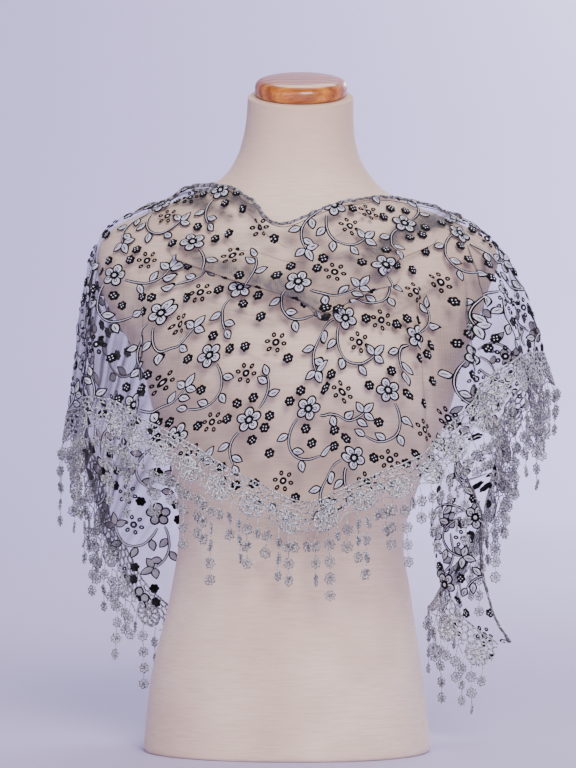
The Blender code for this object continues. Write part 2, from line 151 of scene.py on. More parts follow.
def colour_steps(tree, value, steps):
    """Colours at places along a 0 to 1 value."""
    ramp = add_node(tree, "ShaderNodeValToRGB", {"Fac": value})
    stops = ramp.color_ramp.elements
    while len(stops) < len(steps):
        stops.new(0.5)
    for stop, (place, code) in zip(stops, steps):
        stop.position, stop.color = place, linear(code)
    return ramp.outputs["Color"]


def in_scene(name, data):
    """A new object that shows the data."""
    made = bpy.data.objects.new(name, data)
    bpy.context.scene.collection.objects.link(made)
    return made


def mesh_piece(name, points, faces, finishes, which=None):
    """A smooth-shaded mesh object at the origin, from points in millimetres."""
    data = bpy.data.meshes.new(name)
    data.from_pydata((np.asarray(points, float) * MM).tolist(), [], [list(f) for f in faces])
    piece = in_scene(name, data)
    for finish in finishes:
        data.materials.append(finish)
    if which is not None:
        data.polygons.foreach_set("material_index", np.asarray(which, dtype=np.int32))
    data.polygons.foreach_set("use_smooth", np.ones(len(data.polygons), dtype=bool))
    data.update()
    return piece


def grid_faces(lines, rows):
    """Faces between the points of a grid that is kept line by line."""
    return [(i * rows + r, i * rows + r + 1, (i + 1) * rows + r + 1, (i + 1) * rows + r)
            for i in range(lines - 1) for r in range(rows - 1)]


def loft(rings, close_first=True):
    """Points and faces through closed rings of equal count, their ends closed by fans."""
    count, sides = len(rings), len(rings[0])
    points = [p for ring in rings for p in ring]
    faces = [(i * sides + j, i * sides + (j + 1) % sides, (i + 1) * sides + (j + 1) % sides,
              (i + 1) * sides + j) for i in range(count - 1) for j in range(sides)]
    if close_first:
        points.append(np.mean(rings[0], axis=0))
        faces += [((j + 1) % sides, j, len(points) - 1) for j in range(sides)]
    points.append(np.mean(rings[-1], axis=0))
    base = (count - 1) * sides
    faces += [(base + j, base + (j + 1) % sides, len(points) - 1) for j in range(sides)]
    return points, faces


# Slub jersey: matt, and its uneven yarn shows as fine level streaks. The real knit is 0.5 mm
# to a course, and it is drawn at 1.3 mm so that it shows. It is stretched thinner over the neck,
# where the tan shell under it warms its colour.
jersey, tree, shader = new_finish("slub_jersey", "#EADBCF", Roughness=0.88, Sheen_Weight=0.25,
                                  Sheen_Roughness=0.5)
place = add_node(tree, "ShaderNodeTexCoord").outputs["Object"]
streak = add_node(tree, "ShaderNodeMapping", {"Vector": place, "Scale": (48, 48, 620)})
slub = add_node(tree, "ShaderNodeTexNoise", {"Vector": streak.outputs[0], "Scale": 1.0,
                                             "Detail": 5.0, "Roughness": 0.62})
broad = add_node(tree, "ShaderNodeTexNoise", {"Vector": place, "Scale": 9.0, "Detail": 2.0})
tone = colour_steps(tree, slub.outputs["Fac"],
                    [(0.30, "#E2CAB9"), (0.47, "#EBD6C5"), (0.58, "#EFDBCB"), (0.74, "#F2E2D5")])
warm = colour_steps(tree, broad.outputs["Fac"], [(0.35, "#E9DFDA"), (0.65, "#FFFBF6")])
tint = add_node(tree, "ShaderNodeMix", {"Factor": 1.0, 6: tone, 7: warm}, data_type="RGBA",
                blend_type="MULTIPLY")
upward = add_node(tree, "ShaderNodeSeparateXYZ", {"Vector": place})
stretched = add_node(tree, "ShaderNodeMapRange", {0: upward.outputs["Z"], 1: 0.53, 2: 0.64, 3: 0.0,
                                                  4: 0.8})
tan = add_node(tree, "ShaderNodeMix", {"Factor": stretched.outputs[0], 6: tint.outputs[2],
                                       7: linear("#D9B79F")}, data_type="RGBA")
tree.links.new(tan.outputs[2], shader.inputs["Base Color"])
course = add_node(tree, "ShaderNodeMapping", {"Vector": place, "Scale": (300, 300, 760)})
knit = add_node(tree, "ShaderNodeTexNoise", {"Vector": course.outputs[0], "Scale": 1.0,
                                             "Detail": 2.0})
both = add_node(tree, "ShaderNodeMath", {0: slub.outputs["Fac"], 1: knit.outputs["Fac"]},
                operation="ADD")
bump = add_node(tree, "ShaderNodeBump", {"Height": both.outputs[0], "Strength": 0.35,
                                         "Distance": 0.0006})
tree.links.new(bump.outputs[0], shader.inputs["Normal"])

COVER_SIDES = 128
FOOT_TURN = ((0, 4.0), (0.8, 1.6))  # height, how far it is turned in there
NECK_TURN = ((651.6, 1.2), (652, 3.5))
levels = [(z, 0.0) for z in (3.5, *np.arange(8, 652, 6.0), 650.5)]
rings = [torso_ring(z, COVER_SIDES, inset) for z, inset in (*FOOT_TURN, *levels, *NECK_TURN)]
cover = mesh_piece("form_cover", *loft(rings), [jersey])
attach(cover, "root")
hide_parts("form_torso")

# The back seam: the cover's two edges lapped into a narrow flat welt down the middle of the back.
WELT = ((88, 0.05), (89, 0.95), (90, 1.05), (91, 0.95), (92, 0.05))  # degrees round, height
WELT_NARROWED = 0.7
WELT_LEVELS = np.linspace(6, 646, 161)
welt = []
for z in WELT_LEVELS:
    ring = torso_ring(z, 360)
    for degree, height in WELT:
        x, y, level = ring[degree]
        welt.append((TORSO_X + (x - TORSO_X) * WELT_NARROWED, y + height, level))
welt_faces = [f[::-1] for f in grid_faces(len(WELT_LEVELS), len(WELT))]
back_seam = mesh_piece("form_back_seam", welt, welt_faces, [jersey])
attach(back_seam, "root")

# ---------------------------------------------------------------------------------------------
# The neck cap: a turned beech disc under a honey varnish, screwed down on the neck so that its
# under edge nips the cover.
CAP_PROFILE = [  # radius, height above the neck's top
    (40.6, 0.1), (43.6, 0.5), (45.2, 1.6), (45.9, 3.4), (46.0, 6.0), (45.9, 9.0), (45.3, 11.4),
    (44.0, 13.4), (41.8, 15.0), (38.0, 16.2), (31.0, 17.2), (22.0, 17.7), (11.0, 17.95), (4.0, 18.0),
]
# Beech under honey varnish: a deep gloss over brown fibres that run from side to side. A fibre is
# 0.5 mm across, and is drawn at 2.4 mm so that it shows.
varnished, tree, shader = new_finish("varnished_beech", "#B9752F", Roughness=0.42, Coat_Weight=0.6,
                                     Coat_Roughness=0.08, Coat_IOR=1.5)
place = add_node(tree, "ShaderNodeTexCoord").outputs["Object"]
grain = add_node(tree, "ShaderNodeMapping", {"Vector": place, "Scale": (60, 420, 420)})
fibre = add_node(tree, "ShaderNodeTexNoise", {"Vector": grain.outputs[0], "Scale": 1.0,
                                              "Detail": 6.0, "Distortion": 0.4})
rings_of_growth = add_node(tree, "ShaderNodeTexWave", {"Vector": place, "Scale": 26.0,
                           "Distortion": 3.0, "Detail": 2.0}, bands_direction="Y")
wood = add_node(tree, "ShaderNodeMix", {"Factor": 0.3, 2: fibre.outputs["Fac"],
                                        3: rings_of_growth.outputs["Fac"]})
tone = colour_steps(tree, wood.outputs[0],
                    [(0.25, "#7E3C08"), (0.5, "#B5651B"), (0.62, "#C67827"), (0.8, "#D8913F")])
tree.links.new(tone, shader.inputs["Base Color"])

CAP_Y, CAP_GAP = -23.5, 0.3  # its middle, and the gap between it and the neck
turn = all_round(72)
axis = unit(np.array([0.0, -NECK_LEAN, 1.0]))
rings = []
for radius, height in CAP_PROFILE:
    y = radius * np.sin(turn)
    foot = np.stack([TORSO_X + radius * np.cos(turn), CAP_Y + y, NECK_TOP + CAP_GAP + y * NECK_LEAN], -1)
    rings.append(foot + axis * height)
cap = mesh_piece("neck_cap_turned", *loft(rings), [varnished])
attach(cap, "root")
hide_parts("neck_cap")

# ---------------------------------------------------------------------------------------------
# The net: one triangle of sheer nylon tulle, its long edge round the neck and its point at the
# front. It falls in soft cowl folds, and its two ends hang down behind the shoulders.
FORM_GAP = 1.9  # from the form's surface to the net
DRAPE = [
    # along the hem, point on the hem, four points between, point on the lace edge, fall of the band
    (0, (-97, 93, 112), (-100, 93, 110), (-102, 93, 108),
     (-104, 93, 106), (-106, 93, 104), (-108, 93, 102), (0, 0, -1)),
    (45, (-106, 97, 166), (-112, 98, 159), (-118, 97, 153),
     (-124, 96, 148), (-131, 94, 143), (-136, 93, 137), (-0.15, 0, -0.98)),
    (79, (-116, 100, 215), (-125, 102, 203), (-133, 103, 191),
     (-141, 103, 180), (-150, 103, 169), (-160, 102, 160), (-0.5, 0, -0.86)),
    (123, (-117, 104, 308), (-129, 105, 284), (-142, 105, 261),
     (-156, 105, 239), (-169, 104, 218), (-182, 104, 198), (-0.45, 0.2, -0.87)),
    (163, (-126, 104, 403), (-142, 106, 372), (-159, 106, 337),
     (-174, 103, 302), (-188, 99, 267), (-198, 96, 234), (-0.45, 0.3, -0.84)),
    (217, (-141, 92, 492), (-162, 98, 468), (-180, 97, 427),
     (-193, 91, 380), (-203, 85, 332), (-210, 80, 284), (-0.45, 0.3, -0.84)),
    (260, (-149, 36, 536), (-184, 48, 518), (-204, 57, 484),
     (-213, 62, 431), (-218, 64, 375), (-221, 62, 321), (-0.28, 0.12, -0.94)),
    (340, (-155, 2, 543), (-190, -3, 523), (-209, -8, 491),
     (-218, -10, 445), (-222, -12, 392), (-226, -14, 345), (-0.1, 0, -0.99)),
    (423, (-135, -14, 549), (-155, -44, 524), (-171, -66, 482),
     (-181, -80, 433), (-186, -86, 391), (-188, -88, 352), (-0.05, -0.1, -0.99)),
    (475, (-111, -22, 561), (-121, -62, 525), (-130, -86, 472),
     (-136, -100, 418), (-140, -106, 372), (-144, -104, 329), (-0.38, -0.1, -0.91)),
    (513, (-83, -42, 562), (-84, -78, 521), (-89, -100, 467),
     (-97, -114, 408), (-104, -116, 358), (-112, -110, 311), (-0.43, -0.15, -0.89)),
    (581, (-51, -76, 546), (-46, -97, 510), (-45, -111, 457),
     (-48, -124, 394), (-50, -124, 336), (-53, -117, 278), (-0.4, -0.1, -0.91)),
    (640, (-21, -104, 521), (-13, -113, 493), (-7, -119, 447),
     (-4, -126, 389), (-1, -124, 322), (1, -116, 254), (0, -0.15, -0.98)),
    (689, (26, -90, 539), (30, -104, 505), (35, -114, 456),
     (40, -125, 397), (43, -124, 333), (47, -117, 271), (0.22, -0.55, -0.75)),
    (730, (55, -64, 547), (63, -90, 510), (69, -106, 459),
     (74, -118, 403), (80, -118, 345), (85, -112, 286), (0.35, -0.45, -0.8)),
    (766, (87, -38, 550), (94, -72, 514), (102, -96, 467),
     (107, -108, 413), (112, -110, 358), (116, -104, 303), (0.45, -0.3, -0.85)),
    (813, (126, -20, 544), (134, -58, 515), (141, -84, 471),
     (145, -96, 426), (146, -100, 381), (148, -97, 336), (0.55, -0.2, -0.8)),
    (874, (144, -8, 538), (159, -38, 518), (171, -62, 485),
     (179, -74, 451), (185, -80, 416), (187, -82, 381), (0.3, -0.15, -0.94)),
    (959, (158, 6, 532), (184, 0, 515), (204, -4, 492),
     (217, -8, 460), (226, -10, 429), (233, -12, 398), (0.3, 0, -0.94)),
    (1032, (153, 46, 523), (178, 54, 505), (198, 60, 476),
     (211, 62, 444), (219, 60, 410), (224, 56, 375), (0.3, 0.1, -0.93)),
    (1082, (148, 92, 473), (162, 95, 453), (177, 95, 427),
     (189, 93, 399), (198, 89, 367), (206, 84, 337), (0.33, 0.2, -0.92)),
    (1116, (143, 102, 389), (153, 104, 372), (163, 104, 356),
     (174, 103, 339), (188, 101, 324), (201, 100, 308), (0.33, 0.2, -0.92)),
    (1146, (153, 78, 309), (141, 84, 296), (142, 92, 286),
     (159, 102, 282), (179, 110, 281), (198, 116, 282), (0.33, 0.2, -0.92)),
    (1179, (177, 50, 248), (157, 54, 246), (137, 66, 241),
     (137, 90, 238), (161, 112, 245), (193, 130, 253), (0.17, 0.45, -0.88)),
    (1237, (182, 56, 202), (164, 62, 200), (143, 74, 197),
     (136, 93, 194), (149, 110, 195), (175, 124, 198), (-0.1, 0.3, -0.94)),
    (1288, (185, 62, 166), (171, 66, 165), (156, 74, 163),
     (144, 84, 161), (143, 94, 160), (150, 102, 160), (-0.5, 0.2, -0.84)),
    (1322, (196, 70, 130), (190, 72, 129), (183, 76, 130),
     (176, 80, 131), (169, 84, 132), (163, 88, 132), (-0.55, -0.1, -0.8)),
    (1379, (215, 76, 97), (214, 77, 96), (213, 78, 96),
     (211, 79, 96), (209, 80, 96), (207, 81, 96), (-0.3, -0.15, -0.94)),
]
STRETCHES = {  # runs of whole lace repeats: where each starts, where it ends, repeats
    "left_wing": [(8, 260, 7)],
    "left_side": [(260, 475, 6)],
    "front": [(475, 640, 5), (640, 813, 5)],
    "right_side": [(813, 1082, 8)],
    "right_wing": [(1082, 1372, 8)],
}
COWL_FOLDS = [  # height, half width, how far its crest leans down, then (x, z) along the ridge
    (7, 8, 10, [(-112, 536), (-88, 529), (-70, 521), (-58, 512)]),
    (15, 11, 15, [(-118, 503), (-96, 494), (-64, 482), (-38, 475), (-20, 469), (2, 463), (24, 452)]),
    (15, 11, 15, [(118, 517), (103, 510), (84, 501), (66, 486), (35, 474), (14, 470)]),
    (11, 8, 12, [(84, 474), (63, 469), (44, 459), (19, 452)]),
    (6, 9, 4, [(-112, 462), (-84, 447), (-52, 436), (-30, 432)]),
    (4, 8, 5, [(-62, 408), (-48, 402), (-36, 396), (-22, 393)]),
    (6, 9, 5, [(128, 470), (108, 458), (88, 444), (72, 436)]),
    (4, 5, 6, [(-96, 520), (-66, 506), (-40, 500), (-18, 492), (0, 490)]),
    (4, 5, 6, [(122, 528), (92, 520), (62, 506), (36, 500), (16, 490)]),
    (3, 4, 4, [(-60, 545), (-42, 528), (-30, 512), (-14, 502)]),
    (3, 4, 4, [(60, 536), (42, 522), (28, 512), (10, 503)]),
    (2.5, 5, 3, [(-122, 440), (-96, 424), (-70, 418)]),
    (2.5, 5, 3, [(132, 440), (112, 424), (90, 416)]),
]
FLUTES = [  # along, half width, height, where down the net it starts, how far its crest leans
    (88, 24, 6, 0.10, 0),
    (140, 22, -6, 0.15, 0),
    (182, 22, 4, 0.20, 0),
    (276, 14, 6, 0.20, 9),
    (310, 14, -7, 0.30, 0),
    (334, 8, 5, 0.22, 8),
    (352, 15, 6, 0.30, 0),
    (374, 7, 5, 0.20, -8),
    (392, 15, -9, 0.25, 0),
    (412, 7, 5, 0.35, 9),
    (430, 14, 9, 0.42, 12),
    (448, 6, 4, 0.45, 8),
    (462, 11, -6, 0.30, 0),
    (486, 7, 3, 0.25, 6),
    (520, 20, 4, 0.55, 0),
    (566, 20, -4, 0.60, 0),
    (618, 16, 5, 0.70, 0),
    (662, 16, -5, 0.70, 0),
    (712, 20, 5, 0.60, 0),
    (758, 18, -6, 0.50, 0),
    (778, 7, 4, 0.30, -6),
    (796, 14, 9, 0.25, -10),
    (812, 7, 4, 0.40, -7),
    (826, 12, -10, 0.30, 0),
    (842, 7, 5, 0.40, 8),
    (856, 14, 9, 0.38, -12),
    (878, 6, 4, 0.15, -8),
    (892, 14, -8, 0.25, 0),
    (912, 7, 5, 0.22, 8),
    (930, 14, 8, 0.30, 9),
    (968, 14, -7, 0.30, 0),
    (988, 7, 5, 0.25, 7),
    (1008, 14, 8, 0.30, 0),
    (1044, 14, -6, 0.25, 0),
    (1064, 8, 4, 0.2, 8),
    (1200, 24, 4, 0.25, 0),
]
CRUMPLE = ((0.9, 34, 5), (0.55, 15, 6))  # height, length, seed
HEM_SHARE, HEM_ROOM = 0.12, 2.6  # the part of the net beside the hem stands further off the form
NET_ROWS, COLUMN_STEP = 101, 2.8
LAP_ROWS, LAP_STEP = 7, 3.0  # the net runs on under the lace band


def torso_level(p):
    """0 on the form's surface, below 0 inside it."""
    rows = np.array(TORSO, float)
    x, y, z = p[..., 0], p[..., 1], np.clip(p[..., 2], 0, 640)
    left, right, front, back, square, _ = np.moveaxis(smooth(rows[:, 0], rows[:, 1:], z), -1, 0)
    middle = (front + back) / 2
    y = np.where(y < middle, y + bust(x, z), y)
    across = np.abs(x - TORSO_X) / np.where(x < TORSO_X, left, right)
    deep = np.abs(y - middle) / ((back - front) / 2)
    return (across**square + deep**square) ** (1 / square) - 1


def clear_of_form(p, gap):
    """Points moved out along the form's own slope until they stand gap away from it."""
    shape, p = np.shape(p), np.array(p, float).reshape(-1, 3)
    near = np.nonzero(torso_level(p) < 0.3)[0]
    q, gap = p[near], np.broadcast_to(gap, shape[:-1]).reshape(-1)[near]
    for _ in range(8):
        level = torso_level(q)
        slope = np.stack([torso_level(q + 0.5 * axis) - torso_level(q - 0.5 * axis)
                          for axis in np.eye(3)], -1)
        steep = np.maximum(np.linalg.norm(slope, axis=-1), 1e-4)
        short = np.clip(gap - level / steep, 0, 12)
        q = q + (slope / steep[..., None]) * (short * 0.9)[..., None]
    p[near] = q
    return p.reshape(shape)


def drape_points(along, share):
    """The smooth drape, one line of points for each along."""
    keys = [row[0] for row in DRAPE]
    lines = smooth(keys, [row[1:7] for row in DRAPE], along)
    lines = smooth(np.linspace(0, 1, 6), np.swapaxes(lines, 0, 1), share)
    return np.swapaxes(lines, 0, 1)


def beside(x, z, start, end):
    """How far (x, z) is from a straight line, and the nearest place along it, from 0 to 1."""
    dx, dz = end[0] - start[0], end[1] - start[1]
    t = np.clip(((x - start[0]) * dx + (z - start[1]) * dz) / (dx * dx + dz * dz), 0, 1)
    return np.hypot(x - start[0] - t * dx, z - start[1] - t * dz), t


def fold_lean(x, z, line):
    """Distance from (x, z) to a ridge line, and the way down across it."""
    best, way = np.full(np.shape(x), 1e9), np.zeros(np.shape(x) + (2,))
    for start, end in zip(line, line[1:]):
        dx, dz = end[0] - start[0], end[1] - start[1]
        far, _ = beside(x, z, start, end)
        down = np.array([dz, -dx]) * (1 if dx > 0 else -1) / np.hypot(dx, dz)
        way[far < best] = down
        best = np.minimum(best, far)
    return best, way


def ripple(p, length, seed):
    """Soft uneven waves in space, about -1 to 1, that repeat nowhere on the shawl."""
    rng = np.random.default_rng(seed)
    total = np.zeros(p.shape[:-1])
    for _ in range(9):
        way = unit(rng.normal(size=3)) * 2 * pi / (length * rng.uniform(0.7, 1.5))
        total += np.sin(p @ way + rng.uniform(0, 2 * pi))
    return total / 3.4


def folded_net(along, share):
    """The net with its folds, gathers and crumple, clear of the form."""
    p = drape_points(along, share)
    across = unit(drape_points(along + 2, share) - drape_points(along - 2, share))
    down = drape_points(along, share + 0.01) - drape_points(along, share - 0.01)
    out = unit(np.cross(across, down))
    lift, lean = np.zeros(p.shape[:2]), np.zeros(p.shape[:2])
    for centre, width, height, first, tilt in FLUTES:
        wander = centre + 3 * np.sin(share * 5 + centre)
        grow = np.clip((share - first) / (1 - first), 0, 1)
        grow = grow * grow * (3 - 2 * grow)
        if tilt:  # a sharp flute stands at once, and flattens towards the lace
            grow = np.clip((share - first) / 0.25, 0, 1)
            grow = grow * (1 - 0.55 * np.clip((share - 0.6) / 0.4, 0, 1))
        crest = np.exp(-(((along[:, None] - wander[None]) / width) ** 2)) * grow
        lift += height * crest
        lean += tilt * crest
    p = p + out * lift[..., None] + across * lean[..., None]
    front = (p[..., 1] < -20) & ((along > 400) & (along < 900))[:, None]
    x, z = p[..., 0].copy(), p[..., 2].copy()
    total = np.zeros(p.shape[:2])
    for height, width, tilt, line in COWL_FOLDS:
        far, way = fold_lean(x, z, line)
        crest = np.where(front, np.exp(-((far / width) ** 2)), 0)
        total += (height * crest) ** 3
        p[..., 0] += tilt * crest * way[..., 0]
        p[..., 2] += tilt * crest * way[..., 1]
    p[..., 1] -= total ** (1 / 3)
    hem = np.clip(1 - share / HEM_SHARE, 0, 1)
    crumple = sum(height * ripple(p, length, seed) for height, length, seed in CRUMPLE)
    p += out * crumple[..., None] * (1 - 0.4 * hem)[..., None]
    return clear_of_form(p, FORM_GAP + HEM_ROOM * hem)


stretch_columns, columns = {}, []
for stretch, runs in STRETCHES.items():
    start, end = runs[0][0], runs[-1][1]
    places = np.linspace(start, end, int(round((end - start) / COLUMN_STEP)) + 1)
    first = max(len(columns) - 1, 0)
    columns += list(places if not columns else places[1:])
    stretch_columns[stretch] = (first, len(columns) - 1)
columns = np.array(columns)
shares = np.linspace(0, 1, NET_ROWS)
net = folded_net(columns, shares)
even = drape_points(columns, shares)

fall = unit(smooth([row[0] for row in DRAPE], [row[7] for row in DRAPE], columns))
edge = net[:, -1]
way = unit(np.gradient(edge, axis=0))
band_out = unit(np.cross(fall, way))
lap = np.arange(1, LAP_ROWS + 1) * LAP_STEP
under = edge[:, None] + fall[:, None] * lap[:, None] - band_out[:, None] * 0.5
cloth = np.concatenate([net, clear_of_form(under, FORM_GAP)], axis=1)
even = np.concatenate([even, even[:, -1:] + fall[:, None] * lap[:, None]], axis=1)


def outward(grid):
    """Unit normals of a grid, on the side away from the form."""
    return unit(np.cross(np.gradient(grid, axis=1), np.gradient(grid, axis=0)))


cloth_out = outward(cloth)


def lay_flat(folded, smooth_grid, centre):
    """Unrolls the drape, line by line, to the flat cut: x along the cloth, y down from the hem."""
    run = np.linalg.norm(np.diff(folded, axis=1), axis=-1).cumsum(1)
    run = np.concatenate([np.zeros((len(folded), 1)), run], axis=1)
    line = unit(np.gradient(smooth_grid, axis=1))
    corners, turns = [np.zeros(2)], [0.0]
    for i in range(len(folded) - 1):
        step = smooth_grid[i + 1] - smooth_grid[i]
        slip = (step * line[i]).sum(-1)
        wide = np.linalg.norm(step - line[i] * slip[:, None], axis=-1)
        spread, first = np.polyfit(run[i], wide, 1) if run[i, -1] > 60 else (0.0, wide.mean())
        c, s = np.cos(turns[-1]), np.sin(turns[-1])
        corners.append(corners[-1] + np.array([c, -s]) * first + np.array([s, c]) * slip[0])
        turns.append(turns[-1] + spread)
    c, s = np.cos(turns[centre]), np.sin(turns[centre])
    corners = (np.array(corners) - corners[centre]) @ np.array([[c, s], [-s, c]])
    turns = (np.array(turns) - turns[centre])[:, None]
    return corners[:, None] + np.stack([np.sin(turns) * run, np.cos(turns) * run], -1)


def settle(cut, folded, rounds=200):
    """Eases the flat cut until its points lie as far apart as they do on the folded cloth."""
    back, on, every = slice(None, -1), slice(1, None), slice(None)
    spans = (((back, every), (on, every)), ((every, back), (every, on)),
             ((back, back), (on, on)), ((on, back), (back, on)))
    true = [np.linalg.norm(folded[a] - folded[b], axis=-1) for a, b in spans]
    ties, shift = np.zeros(cut.shape[:2] + (1,)), np.zeros_like(cut)
    for a, b in spans:
        ties[a] += 1
        ties[b] += 1
    for _ in range(rounds):
        for axis in (0, 1):
            room = [(1, 1) if axis == k else (0, 0) for k in range(3)]
            shift = shift + 0.1 * np.diff(np.pad(shift, room, mode="edge"), 2, axis=axis)
        now, move = cut + shift, np.zeros_like(cut)
        for (a, b), length in zip(spans, true):
            gap = now[b] - now[a]
            far = np.maximum(np.linalg.norm(gap, axis=-1), 1e-6)
            pull = gap * (0.5 - 0.5 * length / far)[..., None]
            move[a] += pull
            move[b] -= pull
        shift = shift + 1.8 * move / ties
    return cut + shift


middle_line = int(np.argmin(np.abs(columns - 640)))  # down the front of the shawl
flat = settle(lay_flat(cloth, even, middle_line), cloth)
flat -= flat[middle_line, 0]


# Nylon tulle: hexagons of fine twisted thread, about 1 mm across in the real net and drawn at
# 1.9 mm. It is all but clear where it lies flat, and its threads crowd where it is folded.
HEXAGON = 1.9
tulle, tree, shader = new_finish("nylon_tulle", "#504E54", Roughness=0.8)
weave = add_node(tree, "ShaderNodeUVMap", uv_map="cut").outputs[0]
waves = []
for turn in all_round(3):
    k = 4 * pi / (3 ** 0.5 * HEXAGON * MM)
    ways = add_node(tree, "ShaderNodeVectorMath", {0: weave, 1: (k * np.cos(turn), k * np.sin(turn), 0)},
                    operation="DOT_PRODUCT")
    waves.append(add_node(tree, "ShaderNodeMath", {0: ways.outputs["Value"]}, operation="COSINE"))
two = add_node(tree, "ShaderNodeMath", {0: waves[0].outputs[0], 1: waves[1].outputs[0]}, operation="ADD")
three = add_node(tree, "ShaderNodeMath", {0: two.outputs[0], 1: waves[2].outputs[0]}, operation="ADD")
thread = add_node(tree, "ShaderNodeMapRange", {0: three.outputs[0], 1: -0.25, 2: -0.95, 3: 0.01, 4: 0.15})
crowd = add_node(tree, "ShaderNodeAttribute", attribute_name="crowding").outputs["Fac"]
dense = add_node(tree, "ShaderNodeMath", {0: thread.outputs[0], 1: crowd}, operation="ADD", use_clamp=True)
tree.links.new(dense.outputs[0], shader.inputs["Alpha"])

# How much the threads crowd: the more the folded net turns away from the smooth drape, the more
# thread lies over each patch of the body.
FOLD_HIDES, ROLL_HIDES, MOST_HIDDEN = 0.75, 0.25, 0.8  # as parts of what is behind
GATHERED = [  # along, half width, how much the gathered threads hide
    (175, 55, 0.70), (245, 40, 0.56), (310, 45, 0.34), (430, 38, 0.12), (858, 42, 0.10),
    (960, 60, 0.05), (1078, 46, 0.14), (1175, 30, 0.06),
]
facing = np.abs((cloth_out * outward(even)).sum(-1))
crowding = FOLD_HIDES * np.clip(1 - facing, 0, 0.8) ** 0.8
streaks = 0.5 + 0.5 * np.sin(columns / 2.1 + 2.2 * np.sin(columns / 17)) * np.sin(columns / 7.3 + 1.0)
down_net = np.arange(cloth.shape[1]) / NET_ROWS
lower = np.clip(down_net - 0.12, 0, 0.5) / 0.5
for along, half_wide, hidden in GATHERED:
    reach = np.exp(-(((columns - along) / half_wide) ** 2))
    crowding = crowding + (hidden * reach * (0.35 + 1.1 * streaks**2))[:, None] * lower[None]

# Where the net is bunched in front it lies several times over itself, in grey streaky sheaves.
STREAK = 5  # from streak to streak across a sheaf
SHEAVES = [  # how much they hide, then (x, z, half width) along each
    (0.92, [(-108, 489, 4), (-80, 480, 6), (-61, 474, 7), (-47, 469, 8), (-28, 462, 9), (-6, 453, 9),
            (14, 443, 6)]),
    (0.90, [(-83, 554, 4), (-69, 548, 5), (-57, 543, 6), (-44, 536, 6), (-34, 530, 6), (-25, 524, 5)]),
    (0.95, [(158, 536, 6), (143, 533, 9), (127, 527, 9), (113, 522, 9), (93, 512, 8), (84, 505, 7),
            (69, 495, 5), (54, 488, 4)]),
    (0.55, [(54, 488, 4), (40, 488, 4), (13, 486, 3.5)]),
    (0.55, [(93, 478, 4), (61, 468, 4.5), (35, 456, 5), (18, 449, 6)]),
    (0.75, [(-118, 551, 7), (-100, 545, 8), (-84, 537, 6), (-70, 529, 4)]),
    (0.35, [(-112, 458, 3), (-84, 443, 3.5), (-52, 432, 3), (-30, 428, 3)]),
    (0.35, [(128, 466, 3), (108, 454, 3.5), (88, 440, 3), (72, 432, 3)]),
]
x, z = cloth[..., 0], cloth[..., 2]
in_front = (cloth[..., 1] < 0) & ((columns > 430) & (columns < 900))[:, None]
hatch = np.clip(0.95 + 0.35 * ripple(cloth, 8, 41), 0.55, 1.2)
for hidden, line in SHEAVES:
    over = np.zeros(x.shape)
    for start, end in zip(line, line[1:]):
        off, t = beside(x, z, start, end)
        half_wide = start[2] + t * (end[2] - start[2])
        streaky = 0.75 + 0.25 * np.cos(2 * pi * off / STREAK)
        over = np.maximum(over, np.exp(-((off / half_wide) ** 3)) * streaky)
    crowding = np.maximum(crowding, np.where(in_front, over, 0) * hidden * hatch)
hem_roll = np.clip(1 - down_net / 0.03, 0, 1)
crowding = np.clip(crowding + ROLL_HIDES * hem_roll, 0, MOST_HIDDEN)


def keep_numbers(data, label, values, kind="FLOAT"):
    """Keeps a number, or a vector, on each point of a mesh."""
    layer = data.attributes.new(label, kind, "POINT")
    field = "vector" if kind == "FLOAT_VECTOR" else "value"
    layer.data.foreach_set(field, np.asarray(values, np.float32).ravel())


net_pieces, worn_with = {}, {}
for stretch, (first, last) in stretch_columns.items():
    grid = cloth[first:last + 1]
    faces = grid_faces(*grid.shape[:2])
    piece = mesh_piece(f"tulle_{stretch}", grid.reshape(-1, 3), faces, [tulle])
    cut = flat[first:last + 1].reshape(-1, 2) * MM
    layer = piece.data.uv_layers.new(name="cut")
    layer.data.foreach_set("uv", cut[np.array(faces).ravel()].astype(np.float32).ravel())
    keep_numbers(piece.data, "crowding", crowding[first:last + 1])
    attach(piece, "root")
    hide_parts(f"net_{stretch}")
    net_pieces[stretch], worn_with[stretch] = piece, []

# ---------------------------------------------------------------------------------------------
# The rolled edge: the long edge of the net rolled twice and caught down with black overlock
# thread, which puckers it into a grey crinkled cord over a line of black stitches.
ROLLS = [(0, 1.4), (260, 1.8), (430, 1.7), (478, 2.2), (505, 2.2), (530, 1.5), (620, 1.5), (680, 1.4),
         (860, 1.6), (1060, 1.7), (1120, 1.3), (1379, 1.2)]  # along, radius
# Rolled tulle: matt grey where the net is bunched, and black where the overlock thread winds over it.
# The same noise that raises its puckers also paints them near black down in their creases and pale
# on their crests, as painted shade and painted light. Its puckers are 3 mm apart.
rolled, tree, shader = new_finish("rolled_net_edge", "#6E6C74", Roughness=0.8, Sheen_Weight=0.3)
place = add_node(tree, "ShaderNodeTexCoord").outputs["Object"]
pucker_and_shade = add_node(tree, "ShaderNodeTexNoise", {"Vector": place, "Scale": 300.0, "Detail": 4.0,
                                               "Roughness": 0.75})
# Painted shade and light: the low places of the puckers are coloured near black, their crests pale.
tone = colour_steps(tree, pucker_and_shade.outputs["Fac"],
                    [(0.36, "#121114"), (0.45, "#4A484E"), (0.54, "#85838C"), (0.66, "#CBC9D4")])
wound = add_node(tree, "ShaderNodeAttribute", attribute_name="overlock").outputs["Fac"]
broken = add_node(tree, "ShaderNodeMath", {0: pucker_and_shade.outputs["Fac"], 1: 2.6, 2: -1.3},
                  operation="MULTIPLY_ADD")
uneven_turns = add_node(tree, "ShaderNodeMath", {0: wound, 1: broken.outputs[0]}, operation="ADD")
stitched_over = add_node(tree, "ShaderNodeMapRange", {0: uneven_turns.outputs[0], 1: 0.75, 2: 0.95})
